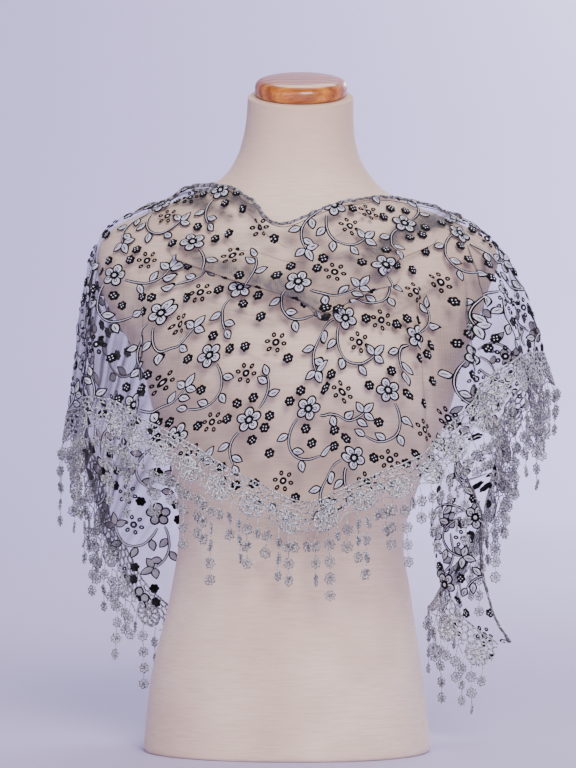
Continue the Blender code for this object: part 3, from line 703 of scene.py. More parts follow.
dark = add_node(tree, "ShaderNodeMix", {"Factor": stitched_over.outputs[0], 6: tone, 7: linear("#060506")},
                data_type="RGBA")
tree.links.new(dark.outputs[2], shader.inputs["Base Color"])
bump = add_node(tree, "ShaderNodeBump", {"Height": pucker_and_shade.outputs["Fac"], "Strength": 0.9,
                                         "Distance": 0.0012})
tree.links.new(bump.outputs[0], shader.inputs["Normal"])

ROLL_STEP, WOUND_EVERY = 0.9, 8  # from ring to ring, and from turn to turn of the thread
ROLL_TURNS = all_round(10)
STITCH_HALF = 0.4
EDGE_GAP = 0.5  # from the form to the edge
TUCKS = {"front": [(478, 520, 60, 2.3), (486, 512, 44, 1.9)]}  # start, end, rings, half thickness


def at_places(along, row):
    """Values of one row of the net at any places along the hem."""
    return np.stack([np.interp(along, columns, row[:, i]) for i in range(3)], -1)


def run_of(line):
    """How far along a line each of its points lies."""
    return np.concatenate([[0], np.linalg.norm(np.diff(line, axis=0), axis=-1).cumsum()])


def rings_round(line, side, up, turns, reach):
    """A ring round each point of a line, clear of the form."""
    c, s = np.cos(turns)[None, :, None], np.sin(turns)[None, :, None]
    return clear_of_form(line[:, None] + reach * (c * side[:, None] + s * up[:, None]), EDGE_GAP)


for stretch, (first, last) in stretch_columns.items():
    low, high = columns[first], columns[last]
    along = np.linspace(low, high, int((high - low) / ROLL_STEP))
    line, inner = at_places(along, net[:, 0]), at_places(along, net[:, 6])
    far = run_of(line)
    way = unit(np.gradient(line, axis=0))
    side = inner - line
    side = unit(side - way * (side * way).sum(-1, keepdims=True))
    up = np.cross(way, side)
    line = line + side * 0.5 * ripple(line, 11, 31)[:, None] + up * 0.7 * ripple(line, 14, 32)[:, None]
    swell = 1 + 0.12 * ripple(line, 7, 33)[:, None] + 0.12 * ripple(line, 19, 34)[:, None]
    swell = swell + 0.12 * np.sin(3 * ROLL_TURNS + far[:, None] / 4.3) * np.sin(far / 11 + 1.3)[:, None]
    swell *= np.interp(along, *zip(*ROLLS))[:, None]
    points, faces = loft(list(rings_round(line, side, up, ROLL_TURNS, swell[..., None])))
    slant = 1.5 * np.sin(far / 23)[:, None]
    wound = list(np.sin(2 * pi * far[:, None] / WOUND_EVERY + ROLL_TURNS + slant).ravel()) + [0, 0]
    below = net[:, 2] * 0.8 + net[:, 3] * 0.2

    # The edge is folded over beside itself near the left shoulder, and a line of stitches runs
    # just below the whole of it.
    folded = [(np.linspace(*run), half) for *run, half in TUCKS.get(stretch, [])]
    for k, (where, half) in enumerate(folded + [(along, STITCH_HALF)]):
        tuck = half > STITCH_HALF
        wander = 0.45 * np.sin(np.linspace(0.3, 5.6, len(where)))[:, None]
        lower_by = 0.5 + 0.35 * k + wander if tuck else 1.0
        course = at_places(where, net[:, 0]) * (1 - lower_by) + at_places(where, below) * lower_by
        ahead = unit(np.gradient(course, axis=0))
        out = unit(np.cross(at_places(where, cloth_out[:, 2]), ahead))
        over = np.cross(ahead, out)
        turns = ROLL_TURNS[::2] if tuck else all_round(4)
        reach = half * (1 + 0.2 * ripple(course, 8, 35 + k))[:, None, None] if tuck else half
        course = course - over * (1.5 if tuck else 0.8)
        more_points, more_faces = loft(list(rings_round(course, out, over, turns, reach)))
        faces += [tuple(i + len(points) for i in f) for f in more_faces]
        points = list(points) + list(more_points)
        wound += [0.0 if tuck else 3.0] * len(more_points)
    piece = mesh_piece(f"rolled_hem_{stretch}", points, faces, [rolled])
    keep_numbers(piece.data, "overlock", wound)
    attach(piece, "root")
    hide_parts(f"rolled_edge_{stretch}")
    worn_with[stretch].append(piece.name)

# ---------------------------------------------------------------------------------------------
# The embroidery: flowers, leaves, vines, eyelets and small rosettes sewn on the net by machine in
# pale rayon and black thread, charted once for a repeat that is stepped over the whole cut.
PALE, BLACK, BACK = 0, 1, 2
MOTIF_LIFT = 0.35  # from the net to the stitching
UNDERSIDE = -MOTIF_LIFT - 0.15  # the back of the stitching, just through the net
REPEAT, REPEAT_AT = (172.0, 136.0), (-29, 40)
FLOWERS = [(36, 26, 10), (116, 16, 40), (78, 82, 25), (150, 92, 60)]  # x, y, turn in degrees
RINGED = [  # which flower, then the angles of the small rosettes round it
    (0, (-150, -110, -35, 100)), (1, (-75, -165, 5)), (2, (-155, -110, 0)),
    (3, (-165, -120, -75, 5, 40, 85)),
]
LONE_ROSETTES = [(60, 4), (19, 110), (38, 60), (61, 58), (105, 47), (168, 130), (152, 20)]
DOTTED = [(70, 20), (150, 46), (8, 92), (114, 84), (90, 106)]
VINES = [  # x, y, heading, (length, turn) runs, leaves at (distance, side), 1 if it ends in a sprig
    (47, 35, 40, ((24, -25), (24, -60)), ((14, 1), (26, -1), (38, 1)), 1),
    (25, 34, 140, ((26, -50), (30, -90), (10, -10)), ((16, 1), (32, -1), (46, 1)), 0),
    (122, 28, 60, ((24, 40), (30, 90), (12, 20)), ((14, -1), (30, -1), (44, 1)), 0),
    (66, 88, 160, ((22, -30), (28, -60)), ((12, -1), (26, 1), (38, -1)), 1),
    (70, 94, 110, ((20, -30), (34, -110), (10, -10)), ((12, 1), (28, 1), (44, 1)), 1),
    (140, 102, 150, ((18, -50), (16, -30)), ((12, 1), (24, -1)), 0),
    (160, 84, -40, ((18, -30), (14, -30)), ((12, 1), (24, -1)), 0),
]


class Stitching:
    """Thread motifs on the flat cut: points with their height, faces, thread and stitch lines."""

    def __init__(self):
        self.points, self.faces, self.threads, self.stitch = [], [], [], []

    def add(self, points, heights, faces, thread, stitch):
        """Adds points with their heights, and faces between them in one thread."""
        base = len(self.points)
        self.points += [(p[0], p[1], h) for p, h in zip(points, heights)]
        self.faces += [tuple(base + i for i in f) for f in faces]
        self.threads += [thread] * len(faces)
        self.stitch += list(stitch)

    def pad(self, outline, centre, low, high, thread, stitch):
        """A raised pad of satin stitch inside an outline."""
        outline, centre = np.asarray(outline), np.asarray(centre)
        n = len(outline)
        inner = centre + (outline - centre) * 0.55
        points = np.concatenate([outline, inner, [centre]])
        heights = [low] * n + [high * 0.9] * n + [high]
        faces = [(i, (i + 1) % n, n + (i + 1) % n, n + i) for i in range(n)]
        faces += [(n + i, n + (i + 1) % n, 2 * n) for i in range(n)]
        self.add(points, heights, faces, thread, list(stitch) * 2 + [float(np.mean(stitch))])

    def back(self, outline, centre, thread):
        """The underside of a motif, flat against the net."""
        n = len(outline)
        points = np.concatenate([np.asarray(outline), [np.asarray(centre)]])
        self.add(points, [UNDERSIDE] * (n + 1), [((i + 1) % n, i, n) for i in range(n)], thread,
                 np.arange(n + 1) * 0.9)

    def band(self, outer, inner, low, high, thread, closed=True):
        """A raised line of thread between two lines of points."""
        outer, inner = np.asarray(outer), np.asarray(inner)
        n = len(outer)
        points = np.concatenate([outer, (outer + inner) / 2, inner])
        heights = [low] * n + [high] * n + [low] * n
        steps = range(n) if closed else range(n - 1)
        faces = [(k * n + i, k * n + (i + 1) % n, (k + 1) * n + (i + 1) % n, (k + 1) * n + i)
                 for k in (0, 1) for i in steps]
        self.add(points, heights, faces, thread, list(run_of(outer)) * 3)


def around(x, y, reach, n, wide=1.0, turn=0.0):
    """An oval of points round (x, y)."""
    c, s = np.cos(turn), np.sin(turn)
    px, py = reach * np.cos(all_round(n)), reach * wide * np.sin(all_round(n))
    return np.stack([x + c * px - s * py, y + s * px + c * py], -1)


def away(x, y, far, angle):
    """The point at a distance and an angle from (x, y)."""
    return x + far * np.cos(angle), y + far * np.sin(angle)


def sew_flower(work, x, y, turn):
    """Five padded petals, each outlined, round a black ring with a pale knot in it."""
    for a in turn + all_round(5):
        middle = away(x, y, 7.1, a)
        rim, petal = (around(*middle, reach, 14, 0.93, a) for reach in (5.5, 3.8))
        work.band(rim, petal, 0.1, 0.8, BLACK)
        across, down = (petal - middle).T
        work.pad(petal, middle, 0.45, 1.3, PALE, np.abs(5 * np.arctan2(down, across)))
        work.back(petal[::2], middle, BACK)
        eye = away(x, y, 6.4, a)
        work.band(around(*eye, 2.3, 8, 0.7, a), around(*eye, 1.45, 8, 0.6, a), 1.2, 1.45, BLACK)
    work.back(around(x, y, 3.4, 8), (x, y), BLACK)
    work.pad(around(x, y, 5.0, 10), (x, y), 0.5, 1.05, PALE, np.arange(10) * 1.6)
    work.band(around(x, y, 4.5, 12), around(x, y, 1.9, 12), 0.95, 1.8, BLACK)
    work.pad(around(x, y, 1.6, 8), (x, y), 1.0, 1.95, PALE, np.arange(8) * 1.0)


def sew_rosette(work, x, y, turn):
    """A small black rosette of six lobes with a few pale specks in its heart."""
    lobes = np.tile([0.8, 0.97, 1.0, 0.97], 6)[:, None]
    rim = (x, y) + around(0, 0, 5.2, 24, turn=turn) * lobes
    work.pad(rim, (x, y), 0.1, 1.1, BLACK, np.arange(24) * 1.1)
    work.back(rim[::2], (x, y), BLACK)
    for k in range(4):
        knot = away(x, y, 1.9, turn + k * pi / 2 + 0.3)
        work.pad(around(*knot, 0.66, 5), knot, 1.0, 1.5, PALE, np.zeros(5))


def sew_dotted(work, x, y, turn):
    """A ring of six small eyelets round a larger one."""
    work.band(around(x, y, 3.7, 12), around(x, y, 1.4, 12), 0.1, 0.9, BLACK)
    work.pad(around(x, y, 1.1, 6), (x, y), 0.2, 0.5, PALE, np.zeros(6))
    for k in range(6):
        a = turn + k * pi / 3
        hole = away(x, y, 8.1, a)
        work.band(around(*hole, 2.8, 9, 0.8, a), around(*hole, 0.8, 9, 0.8, a), 0.1, 0.8, BLACK)


def sew_leaf(work, x, y, turn, length, wide):
    """A pointed leaf of satin stitch, outlined, with a thin slit down its middle."""
    t = np.linspace(0, 1, 8)
    half = wide * np.sin(pi * t) ** 0.8 * (1 - 0.22 * (2 * t - 1))
    c, s = np.cos(turn), np.sin(turn)

    def placed(along, off):
        return np.stack([x + c * along - s * off, y + s * along + c * off], -1)

    def ring(trim):
        along = trim + t * (length - 2 * trim * 1.1)
        side = half * (1 - trim / wide)
        return placed(np.concatenate([along, along[-2:0:-1]]), np.concatenate([side, -side[-2:0:-1]]))

    heart = placed(np.array([length * 0.5]), np.array([0.0]))[0]
    lines = np.concatenate([t * length, (t * length)[-2:0:-1]])
    work.band(ring(-0.1), ring(1.4), 0.1, 0.75, BLACK)
    work.back(ring(1.3), heart, BACK)
    work.pad(ring(1.4), heart, 0.4, 1.1, PALE, lines)
    slit = np.linspace(0.24, 0.74, 4) * length
    thin = np.array([0.0, 0.42, 0.42, 0.0])
    work.band(placed(slit, thin), placed(slit, -thin), 1.15, 1.35, BLACK, closed=False)


VINE_STEP = 2.2


def sew_vine(work, x, y, heading, runs, leaves, sprig):
    """A couched cord with leaves along it, ending in a sprig of three or one small leaf."""
    path, turns, heading = [np.array([x, y], float)], [np.radians(heading)], np.radians(heading)
    for length, bend in runs:
        n = max(int(length / VINE_STEP), 2)
        for _ in range(n):
            heading += np.radians(bend) / n
            path.append(path[-1] + length / n * np.array([np.cos(heading), np.sin(heading)]))
            turns.append(heading)
    path, turns = np.array(path), np.array(turns)
    side = np.stack([-np.sin(turns), np.cos(turns)], -1)
    last = len(path) - 1
    taper = np.interp(np.arange(len(path)), [0, 3, last - 3, last], [0.75, 1, 1, 0.7])[:, None]
    work.band(path + side * 1.5 * taper, path - side * 1.5 * taper, 0.05, 0.55, BLACK, closed=False)
    work.band(path + side * 0.34 * taper, path - side * 0.34 * taper, 0.5, 0.95, PALE, closed=False)
    for i in range(len(path) - 1):
        a, b = side[i] * 0.6, side[i + 1] * 0.6
        strip = [path[i] + a, path[i + 1] + b, path[i + 1] - b, path[i] - a]
        work.add(strip, [UNDERSIDE] * 4, [(3, 2, 1, 0)], BACK, np.zeros(4))
    run = run_of(path)
    for far, hand in leaves:
        i = int(np.searchsorted(run, far))
        if i < len(path) - 2:
            a = turns[i] + hand * np.radians(52)
            sew_leaf(work, *(path[i] + side[i] * hand * 0.9), a, 13.4, 4.2)
    ends = ((0, 15.5, 4.4), (-78, 13.2, 4.4), (78, 13.2, 4.4)) if sprig else ((0, 13, 4.0),)
    for swing, length, wide in ends:
        sew_leaf(work, *path[-1], turns[-1] + np.radians(swing), length, wide)


def sew_repeat(work, left, top):
    """All the motifs of one repeat of the chart."""
    rng = np.random.default_rng(int(left * 7 + top * 13) % 9999)
    for x, y, turn in FLOWERS:
        sew_flower(work, left + x, top + y, np.radians(turn))
    for which, angles in RINGED:
        x, y, _ = FLOWERS[which]
        for a in np.radians(angles):
            far = 20 + rng.uniform(-1.2, 1.8)
            sew_rosette(work, *away(left + x, top + y, far, a), a)
    for x, y in LONE_ROSETTES:
        sew_rosette(work, left + x, top + y, 0.3)
    for x, y in DOTTED:
        sew_dotted(work, left + x, top + y, 0.35)
    for x, y, *course in VINES:
        sew_vine(work, left + x, top + y, *course)


flat_tree = KDTree(flat.shape[0] * flat.shape[1])
for i, (x, y) in enumerate(flat.reshape(-1, 2)):
    flat_tree.insert((x, y, 0), i)
flat_tree.balance()
flat_ways = np.gradient(flat, axis=0), np.gradient(flat, axis=1)


def sample(grid, u, v):
    """Values of a grid between its points, u along the hem and v down the net."""
    i = np.clip(np.floor(u).astype(int), 0, grid.shape[0] - 2)
    j = np.clip(np.floor(v).astype(int), 0, grid.shape[1] - 2)
    a = (np.clip(u, 0, grid.shape[0] - 1) - i)[:, None]
    b = (np.clip(v, 0, grid.shape[1] - 1) - j)[:, None]
    return ((grid[i, j] * (1 - b) + grid[i, j + 1] * b) * (1 - a)
            + (grid[i + 1, j] * (1 - b) + grid[i + 1, j + 1] * b) * a)


def places_on_cloth(points):
    """Column and row of each flat point, and whether it is on the cut at all."""
    start = np.array([flat_tree.find((x, y, 0))[1] for x, y in points])
    u, v = (start // flat.shape[1]).astype(float), (start % flat.shape[1]).astype(float)
    for _ in range(5):
        off = points - sample(flat, u, v)
        (ax, ay), (bx, by) = (sample(ways, u, v).T for ways in flat_ways)
        whole = ax * by - ay * bx
        whole = np.where(np.abs(whole) < 0.5, 0.5, whole)
        u = np.clip(u + (off[:, 0] * by - off[:, 1] * bx) / whole, 0, flat.shape[0] - 1)
        v = np.clip(v + (off[:, 1] * ax - off[:, 0] * ay) / whole, 0, flat.shape[1] - 1)
    return u, v, np.linalg.norm(points - sample(flat, u, v), axis=-1) < 0.3


# Every second column of repeats is dropped by half a repeat.
work = Stitching()
low, high = (((f(flat, axis=(0, 1)) - REPEAT_AT) // REPEAT).astype(int) for f in (np.min, np.max))
for i in range(low[0] - 1, high[0] + 2):
    for j in range(low[1] - 2, high[1] + 2):
        left, top = REPEAT_AT[0] + i * REPEAT[0], REPEAT_AT[1] + j * REPEAT[1] + (i % 2) * REPEAT[1] / 2
        near = flat_tree.find((left + REPEAT[0] / 2, top + REPEAT[1] / 2, 0))[2]
        if near < 0.75 * np.hypot(*REPEAT):
            sew_repeat(work, left, top)
stitched = np.array(work.points)
u, v, on_cut = places_on_cloth(stitched[:, :2])
under_band = np.clip((v - NET_ROWS + 1) / 2, 0, 1)  # where the lace lies over it, it is pressed flat
height = MOTIF_LIFT + stitched[:, 2] * (1 - 0.7 * under_band)
sewn = sample(cloth, u, v) + unit(sample(cloth_out, u, v)) * height[:, None]
faces_of = {stretch: [] for stretch in stretch_columns}
for face, thread_kind in zip(work.faces, work.threads):
    if all(on_cut[i] for i in face):
        middle_u = np.mean([u[i] for i in face])
        for stretch, (first, last) in stretch_columns.items():
            if first <= middle_u < last:
                faces_of[stretch].append((face, thread_kind))

# Satin stitch: rayon laid side by side, so the pads gleam softly across their length. A stitch is
# 0.4 mm across and is drawn at 0.8 mm.
threads = []
for name, colour, rough, shine in (("pale_rayon_thread", "#EBECFB", 0.42, 0.5),
                                   ("black_rayon_thread", "#050405", 0.6, 0.2),
                                   ("grey_bobbin_thread", "#D2D0DB", 0.75, 0.2)):
    finish, tree, shader = new_finish(name, colour, Roughness=rough, Specular_IOR_Level=shine)
    across = add_node(tree, "ShaderNodeAttribute", attribute_name="stitch").outputs["Fac"]
    turns = add_node(tree, "ShaderNodeMath", {0: across, 1: 2 * pi / 0.8}, operation="MULTIPLY")
    rows = add_node(tree, "ShaderNodeMath", {0: turns.outputs[0]}, operation="SINE")
    bump = add_node(tree, "ShaderNodeBump", {"Height": rows.outputs[0], "Strength": 0.7, "Distance": 0.0004})
    tree.links.new(bump.outputs[0], shader.inputs["Normal"])
    threads.append(finish)

for stretch, chosen in faces_of.items():
    used = sorted({i for face, _ in chosen for i in face})
    number = {i: k for k, i in enumerate(used)}
    piece = mesh_piece(f"embroidery_{stretch}", sewn[used],
                       [[number[i] for i in face] for face, _ in chosen],
                       threads, [kind for _, kind in chosen])
    keep_numbers(piece.data, "stitch", np.array(work.stitch)[used])
    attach(piece, "root")
    worn_with[stretch].append(piece.name)

# ---------------------------------------------------------------------------------------------
# The lace band: guipure worked in silver tinsel thread, a honeycomb of three rows over one round
# fan to a repeat. The net is sewn behind its top edge.
LACE_GAP = 0.9  # from the net to the lace
HONEYCOMB = (1.2, 5.6, 10.0, 14.3)  # how far down the lines between the rows of cells are
CELLS = 5  # to a repeat
FAN_AT, FAN_DOWN = 0.575, 21.2  # across, as a part of the repeat, and down
FAN_REACH, FAN_ROOM, FAN_LOOPS = 11.6, 6.9, 11  # how far its loops go, and how far up they can
TOP_CORD, CELL_CORD, CELL_WALL = 1.05, 0.94, 0.88  # half the thickness of each kind of cord
FAN_LOOP, SHORT_LOOP, FAN_RIM, FAN_HUB = 0.92, 0.7, 0.95, 0.7
LOOPS_FROM, LOOP_WIDE, SHORT_WIDE = 2.4, 2.3, 1.3  # where the fan's loops begin, half their widths
ZIGZAG, SAG = 0.95, 0.36  # of the rows of cells, which hang lower between two fans
FILLING, FOOT_CORD = 0.6, 0.62
STRAYING = 0.28  # how far a point is worked off its place
# The painted shade down a cord's flanks: how dark it grows, where it begins, and over how much turn it
# deepens.
FLANK_SHADE, FLANK_FROM, FLANK_OVER = 0.9, 0.72, 0.5  # how dark, and where a cord's flank begins


def band_points(along, down, out=0.0):
    """Points of the band: along the net's lower edge, down its fall and out from its face."""
    edge_at, fall_at, out_at = (at_places(along, row) for row in (edge, fall, band_out))
    down = np.asarray(down, float)[..., None] + LACE_GAP
    p = edge_at + unit(fall_at) * down + unit(out_at) * (LACE_GAP + np.asarray(out, float)[..., None])
    return clear_of_form(p, FORM_GAP + 1)


def fan_loop(angle, inner, reach, wide):
    """One long loop of thread from the hub of a fan to its rim."""
    r = np.array([inner, inner + 0.45 * (reach - inner), inner + 0.8 * (reach - inner), reach,
                  inner + 0.8 * (reach - inner), inner + 0.45 * (reach - inner), inner])
    side = np.array([-0.35, -0.75, -1.0, 0.0, 1.0, 0.75, 0.35]) * wide
    c, s = np.cos(angle), np.sin(angle)
    return np.stack([c * r - s * side, s * r + c * side], -1)


def closed(points):
    """The points, and the first one again."""
    return np.concatenate([points, points[:1]])


def lace_repeat(wide):
    """The threads of one repeat as flat lines, across and down in millimetres, and how thick."""
    half = np.arange(2 * CELLS + 1)
    x = half * wide / (2 * CELLS)
    from_gap = 0.5 + 0.5 * np.cos(2 * pi * (x / wide - FAN_AT + 0.5))
    levels, cords = [], []
    for k, down in enumerate(HONEYCOMB):
        tilt = np.where((half + k) % 2 == 0, ZIGZAG, -ZIGZAG) * (k > 0)
        levels.append(down * (0.9 + SAG * from_gap * k / 3) + tilt)
        cords.append((np.stack([x, levels[k]], -1), CELL_CORD if k else TOP_CORD))
    for k in range(len(HONEYCOMB) - 1):
        for i in half[(half + k) % 2 == 0]:
            if i < 2 * CELLS:
                cords.append((np.array([[x[i], levels[k][i]], [x[i], levels[k + 1][i]]]), CELL_WALL))

    centre = np.array([FAN_AT * wide, FAN_DOWN])
    rim = []
    for a in all_round(FAN_LOOPS) + pi / 2:
        upward = np.sin(a) < -0.3
        reach = min(FAN_REACH, FAN_ROOM / max(-np.sin(a), 0.2)) if upward else FAN_REACH
        between = a + pi / FAN_LOOPS
        cords.append((centre + fan_loop(a, LOOPS_FROM, reach, LOOP_WIDE), FAN_LOOP))
        cords.append((centre + fan_loop(between, LOOPS_FROM, 0.62 * reach, SHORT_WIDE), SHORT_LOOP))
        rim += [away(0, 0, reach + 1.0, a), away(0, 0, reach + 0.1, between)]
    cords.append((centre + closed(np.array(rim)), FAN_RIM))
    cords.append((centre + closed(around(0, 0, 2.1, 9)), FAN_HUB))

    # Between two fans a small ring hangs on four legs, over a cord that joins their rims.
    gap = (FAN_AT - 0.5) * wide
    legs = [[(hand * x1, y1), (hand * x2, y2)] for hand in (-1, 1)
            for x1, y1, x2, y2 in ((2.3, 22.3, 5.0, 21.6), (1.4, 20.5, 2.4, 18.4))]
    foot = [(-7.5, 30.2), (-3.5, 27.6), (0, 26.8), (3.5, 27.6), (7.5, 30.2)]
    cords.append((closed(around(gap, 22.3, 2.3, 8)), FILLING))
    cords += [(np.array(leg) + (gap, 0), FILLING) for leg in legs]
    cords.append((np.array(foot) + (gap, 0), FOOT_CORD))
    cords.append((np.array([(0, 24.6), (0, 26.8)]) + (gap, 0), FILLING))
    return cords


# Tinsel thread: grey viscose wrapped with a flat silver strip, so that it is matt with bright
# flecks. A fleck is 0.3 mm, and is drawn at 1.4 mm. The flecks are partly the strip's own silver
# and the viscose's grey, and partly painted light: the whitest are painted glints and the darkest
# painted shade between the filaments. The strip lies on the faces of the lace, and the grey viscose
# shows down the flanks of its cords; the dark line round each hole is that grey together with
# painted shade, darker wherever a cord turns away from the lace's face.
tinsel, tree, shader = new_finish("silver_tinsel_thread", "#BBBCC4", Roughness=0.32, Metallic=0.1)
place = add_node(tree, "ShaderNodeTexCoord").outputs["Object"]
fleck_and_glint = add_node(tree, "ShaderNodeTexNoise", {"Vector": place, "Scale": 720.0, "Detail": 3.0,
                                              "Roughness": 0.75})
# Painted light: the white flecks stand for glints, the near-black ones for shade between filaments.
tone = colour_steps(tree, fleck_and_glint.outputs["Fac"],
                    [(0.38, "#26262B"), (0.46, "#7C7D86"), (0.54, "#C8C9D3"), (0.61, "#FFFFFF")])
painted_flank_shade = add_node(tree, "ShaderNodeAttribute", attribute_name="painted_flank_shade").outputs["Fac"]
# Down the flanks the tinsel is coloured dark grey: partly its grey viscose, partly painted shade.
core_and_shade = add_node(tree, "ShaderNodeMix", {"Factor": painted_flank_shade, 6: tone, 7: linear("#2C2C32")},
                 data_type="RGBA")
tree.links.new(core_and_shade.outputs[2], shader.inputs["Base Color"])
bump = add_node(tree, "ShaderNodeBump", {"Height": fleck_and_glint.outputs["Fac"], "Strength": 0.8,
                                         "Distance": 0.0006})
tree.links.new(bump.outputs[0], shader.inputs["Normal"])


def node_group(name, sockets):
    """A geometry node group with its own named inputs, and its two end nodes."""
    group = bpy.data.node_groups.new(name, "GeometryNodeTree")
    group.interface.new_socket("Geometry", in_out="INPUT", socket_type="NodeSocketGeometry")
    for label, kind in sockets:
        group.interface.new_socket(label, in_out="INPUT", socket_type=f"NodeSocket{kind}")
    group.interface.new_socket("Geometry", in_out="OUTPUT", socket_type="NodeSocketGeometry")
    return group, add_node(group, "NodeGroupInput"), add_node(group, "NodeGroupOutput")


def end_group(group, geometry, thread, last_node):
    """Ends a group with its instances made real and its material set."""
    real_node = add_node(group, "GeometryNodeRealizeInstances", {"Geometry": geometry})
    dress_node = add_node(group, "GeometryNodeSetMaterial", {
        "Geometry": real_node.outputs[0], "Material": thread})
    group.links.new(dress_node.outputs[0], last_node.inputs["Geometry"])


def grown(name, points, edges, numbers, group, values):
    """The plain mesh that a node group makes of some points and the numbers kept on them."""
    data = bpy.data.meshes.new(name)
    data.from_pydata((np.asarray(points, float) * MM).tolist(), edges, [])
    for label, kind, per_point in numbers:
        keep_numbers(data, label, per_point, kind)
    seedling = in_scene(name + "_lines", data)
    step = seedling.modifiers.new("grow", "NODES")
    step.node_group = group
    for item in group.interface.items_tree:
        if item.in_out == "INPUT" and item.name in values:
            step[item.identifier] = values[item.name]
    scene_now = bpy.context.evaluated_depsgraph_get()
    mesh = bpy.data.meshes.new_from_object(seedling.evaluated_get(scene_now), depsgraph=scene_now)
    mesh.name = name
    bpy.data.objects.remove(seedling)
    mesh.polygons.foreach_set("use_smooth", np.ones(len(mesh.polygons), dtype=bool))
    return in_scene(name, mesh)


# Cords along lines: each point keeps half its thread's thickness as "half_thick", and the line
# is worked unevenly by hand, so it strays a little to every side.
cord_group, first_node, last_node = node_group("cord", [
    ("Sides", "Int"), ("Step", "Float"), ("Stray", "Float"), ("Thread", "Material")])
line_node = add_node(cord_group, "GeometryNodeMeshToCurve", {"Mesh": first_node.outputs["Geometry"]})
even_node = add_node(cord_group, "GeometryNodeResampleCurve", {
    "Curve": line_node.outputs[0], "Length": first_node.outputs["Step"]}, mode="LENGTH")
here_node = add_node(cord_group, "GeometryNodeInputPosition")
noise_node = add_node(cord_group, "ShaderNodeTexNoise", {
    "Vector": here_node.outputs[0], "Scale": 520.0, "Detail": 1.0})
centred_node = add_node(cord_group, "ShaderNodeVectorMath", {
    0: noise_node.outputs["Color"], 1: (0.5, 0.5, 0.5)}, operation="SUBTRACT")
stray_node = add_node(cord_group, "ShaderNodeVectorMath", {
    0: centred_node.outputs[0], "Scale": first_node.outputs["Stray"]}, operation="SCALE")
move_node = add_node(cord_group, "GeometryNodeSetPosition", {
    "Geometry": even_node.outputs[0], "Offset": stray_node.outputs[0]})
thick_node = add_node(cord_group, "GeometryNodeInputNamedAttribute", {"Name": "half_thick"},
                      data_type="FLOAT")
round_node = add_node(cord_group, "GeometryNodeCurvePrimitiveCircle", {
    "Resolution": first_node.outputs["Sides"], "Radius": 1.0})
tube_node = add_node(cord_group, "GeometryNodeCurveToMesh", {
    "Curve": move_node.outputs[0], "Profile Curve": round_node.outputs[0],
    "Scale": thick_node.outputs[0], "Fill Caps": True})
end_group(cord_group, tube_node.outputs[0], first_node.outputs["Thread"], last_node)

# The nearest place on the net's edge tells which way the lace faces, and so which side of a cord
# is its flank, where painted shade darkens it.
uneven = np.random.default_rng(11)
edge_tree = KDTree(len(edge))
for i, p in enumerate(edge):
    edge_tree.insert(p, i)
edge_tree.balance()
for stretch, runs in STRETCHES.items():
    places, edges, thick = [], [], []
    for start, end, repeats in runs:
        for rep in range(repeats):
            low, high = (start + (end - start) * (rep + t) / repeats for t in (0, 1))
            ends = band_points(np.linspace(low, high, 5), np.full(5, 15.0))
            wide = np.linalg.norm(np.diff(ends, axis=0), axis=-1).sum()
            for cord, half_thick in lace_repeat(wide):
                inside = (cord[:, :1] > 0.1) & (cord[:, :1] < wide - 0.1)
                cord = cord + uneven.normal(0, STRAYING, cord.shape) * inside
                lift = np.full(len(cord), uneven.uniform(-0.3, 0.5))
                edges += [(len(places) + i, len(places) + i + 1) for i in range(len(cord) - 1)]
                places += list(np.stack([low + cord[:, 0] / wide * (high - low), cord[:, 1], lift], -1))
                thick += [half_thick * MM * uneven.uniform(0.9, 1.12)] * len(cord)
    piece = grown(f"guipure_{stretch}", band_points(*np.array(places).T), edges,
                  [("half_thick", "FLOAT", thick)], cord_group,
                  {"Sides": 6, "Step": 0.0021, "Stray": 0.0015, "Thread": tinsel})
    spots, turned = (np.zeros(len(piece.data.vertices) * 3, np.float32) for _ in range(2))
    piece.data.vertices.foreach_get("co", spots)
    piece.data.vertices.foreach_get("normal", turned)
    nearest = [edge_tree.find(p)[1] for p in spots.reshape(-1, 3) / MM]
    square_on = np.abs((turned.reshape(-1, 3) * unit(band_out[nearest])).sum(-1))
    # Painted shade: the more a cord's surface turns away from the lace's face, the darker it is coloured.
    shaded = FLANK_SHADE * np.clip((FLANK_FROM - square_on) / FLANK_OVER, 0, 1)
    keep_numbers(piece.data, "painted_flank_shade", shaded)
    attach(piece, "root")
    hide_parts(f"lace_band_{stretch}")
    worn_with[stretch].append(piece.name)

# ---------------------------------------------------------------------------------------------
# The fringe: rosettes of looped tinsel thread strung on crocheted chains that are sewn to the
# band's lower edge. The chain under each fan has about four, and the three between have fewer.
ROSETTE, LINK, CHAIN_HALF = 11.6, 4.8, 0.38
HANG_ON = ROSETTE / 2 - 1.2  # from a rosette's middle to where a chain is sewn to it
ROOT_BELOW = 1.8  # from the band's edge to where a strand begins to hang
SWAY, WANDER = 0.55, 0.3  # how far a strand leans at each rosette, and each rosette by itself
TWISTED, TWIST = 0.08, 1.2  # the part of the rosettes that have turned on their chain, and how far
FULLER_ABOVE = 250  # above this height, as round the front, some strands have one rosette more
STRANDS = (  # across, edge, chain's top, how far out it hangs, rosettes, turned by so many degrees
    (0.075, 31.5, 27.0, 0, 2, 0), (0.325, 33.0, 29.0, 4.6, 3, 38), (FAN_AT, 34.5, 33.4, 0, 4, 0),
    (0.825, 33.0, 29.0, 4.6, 1, 30))
LOOP_HALF = 0.82
LOOP = [(1.1, 0.0, 0.3), (3.9, 1.35, 0.7), (5.3, 0.0, 0.1), (3.9, -1.35, -0.5)]  # x, y, z round it
LOOP_MIDDLE = 3.3


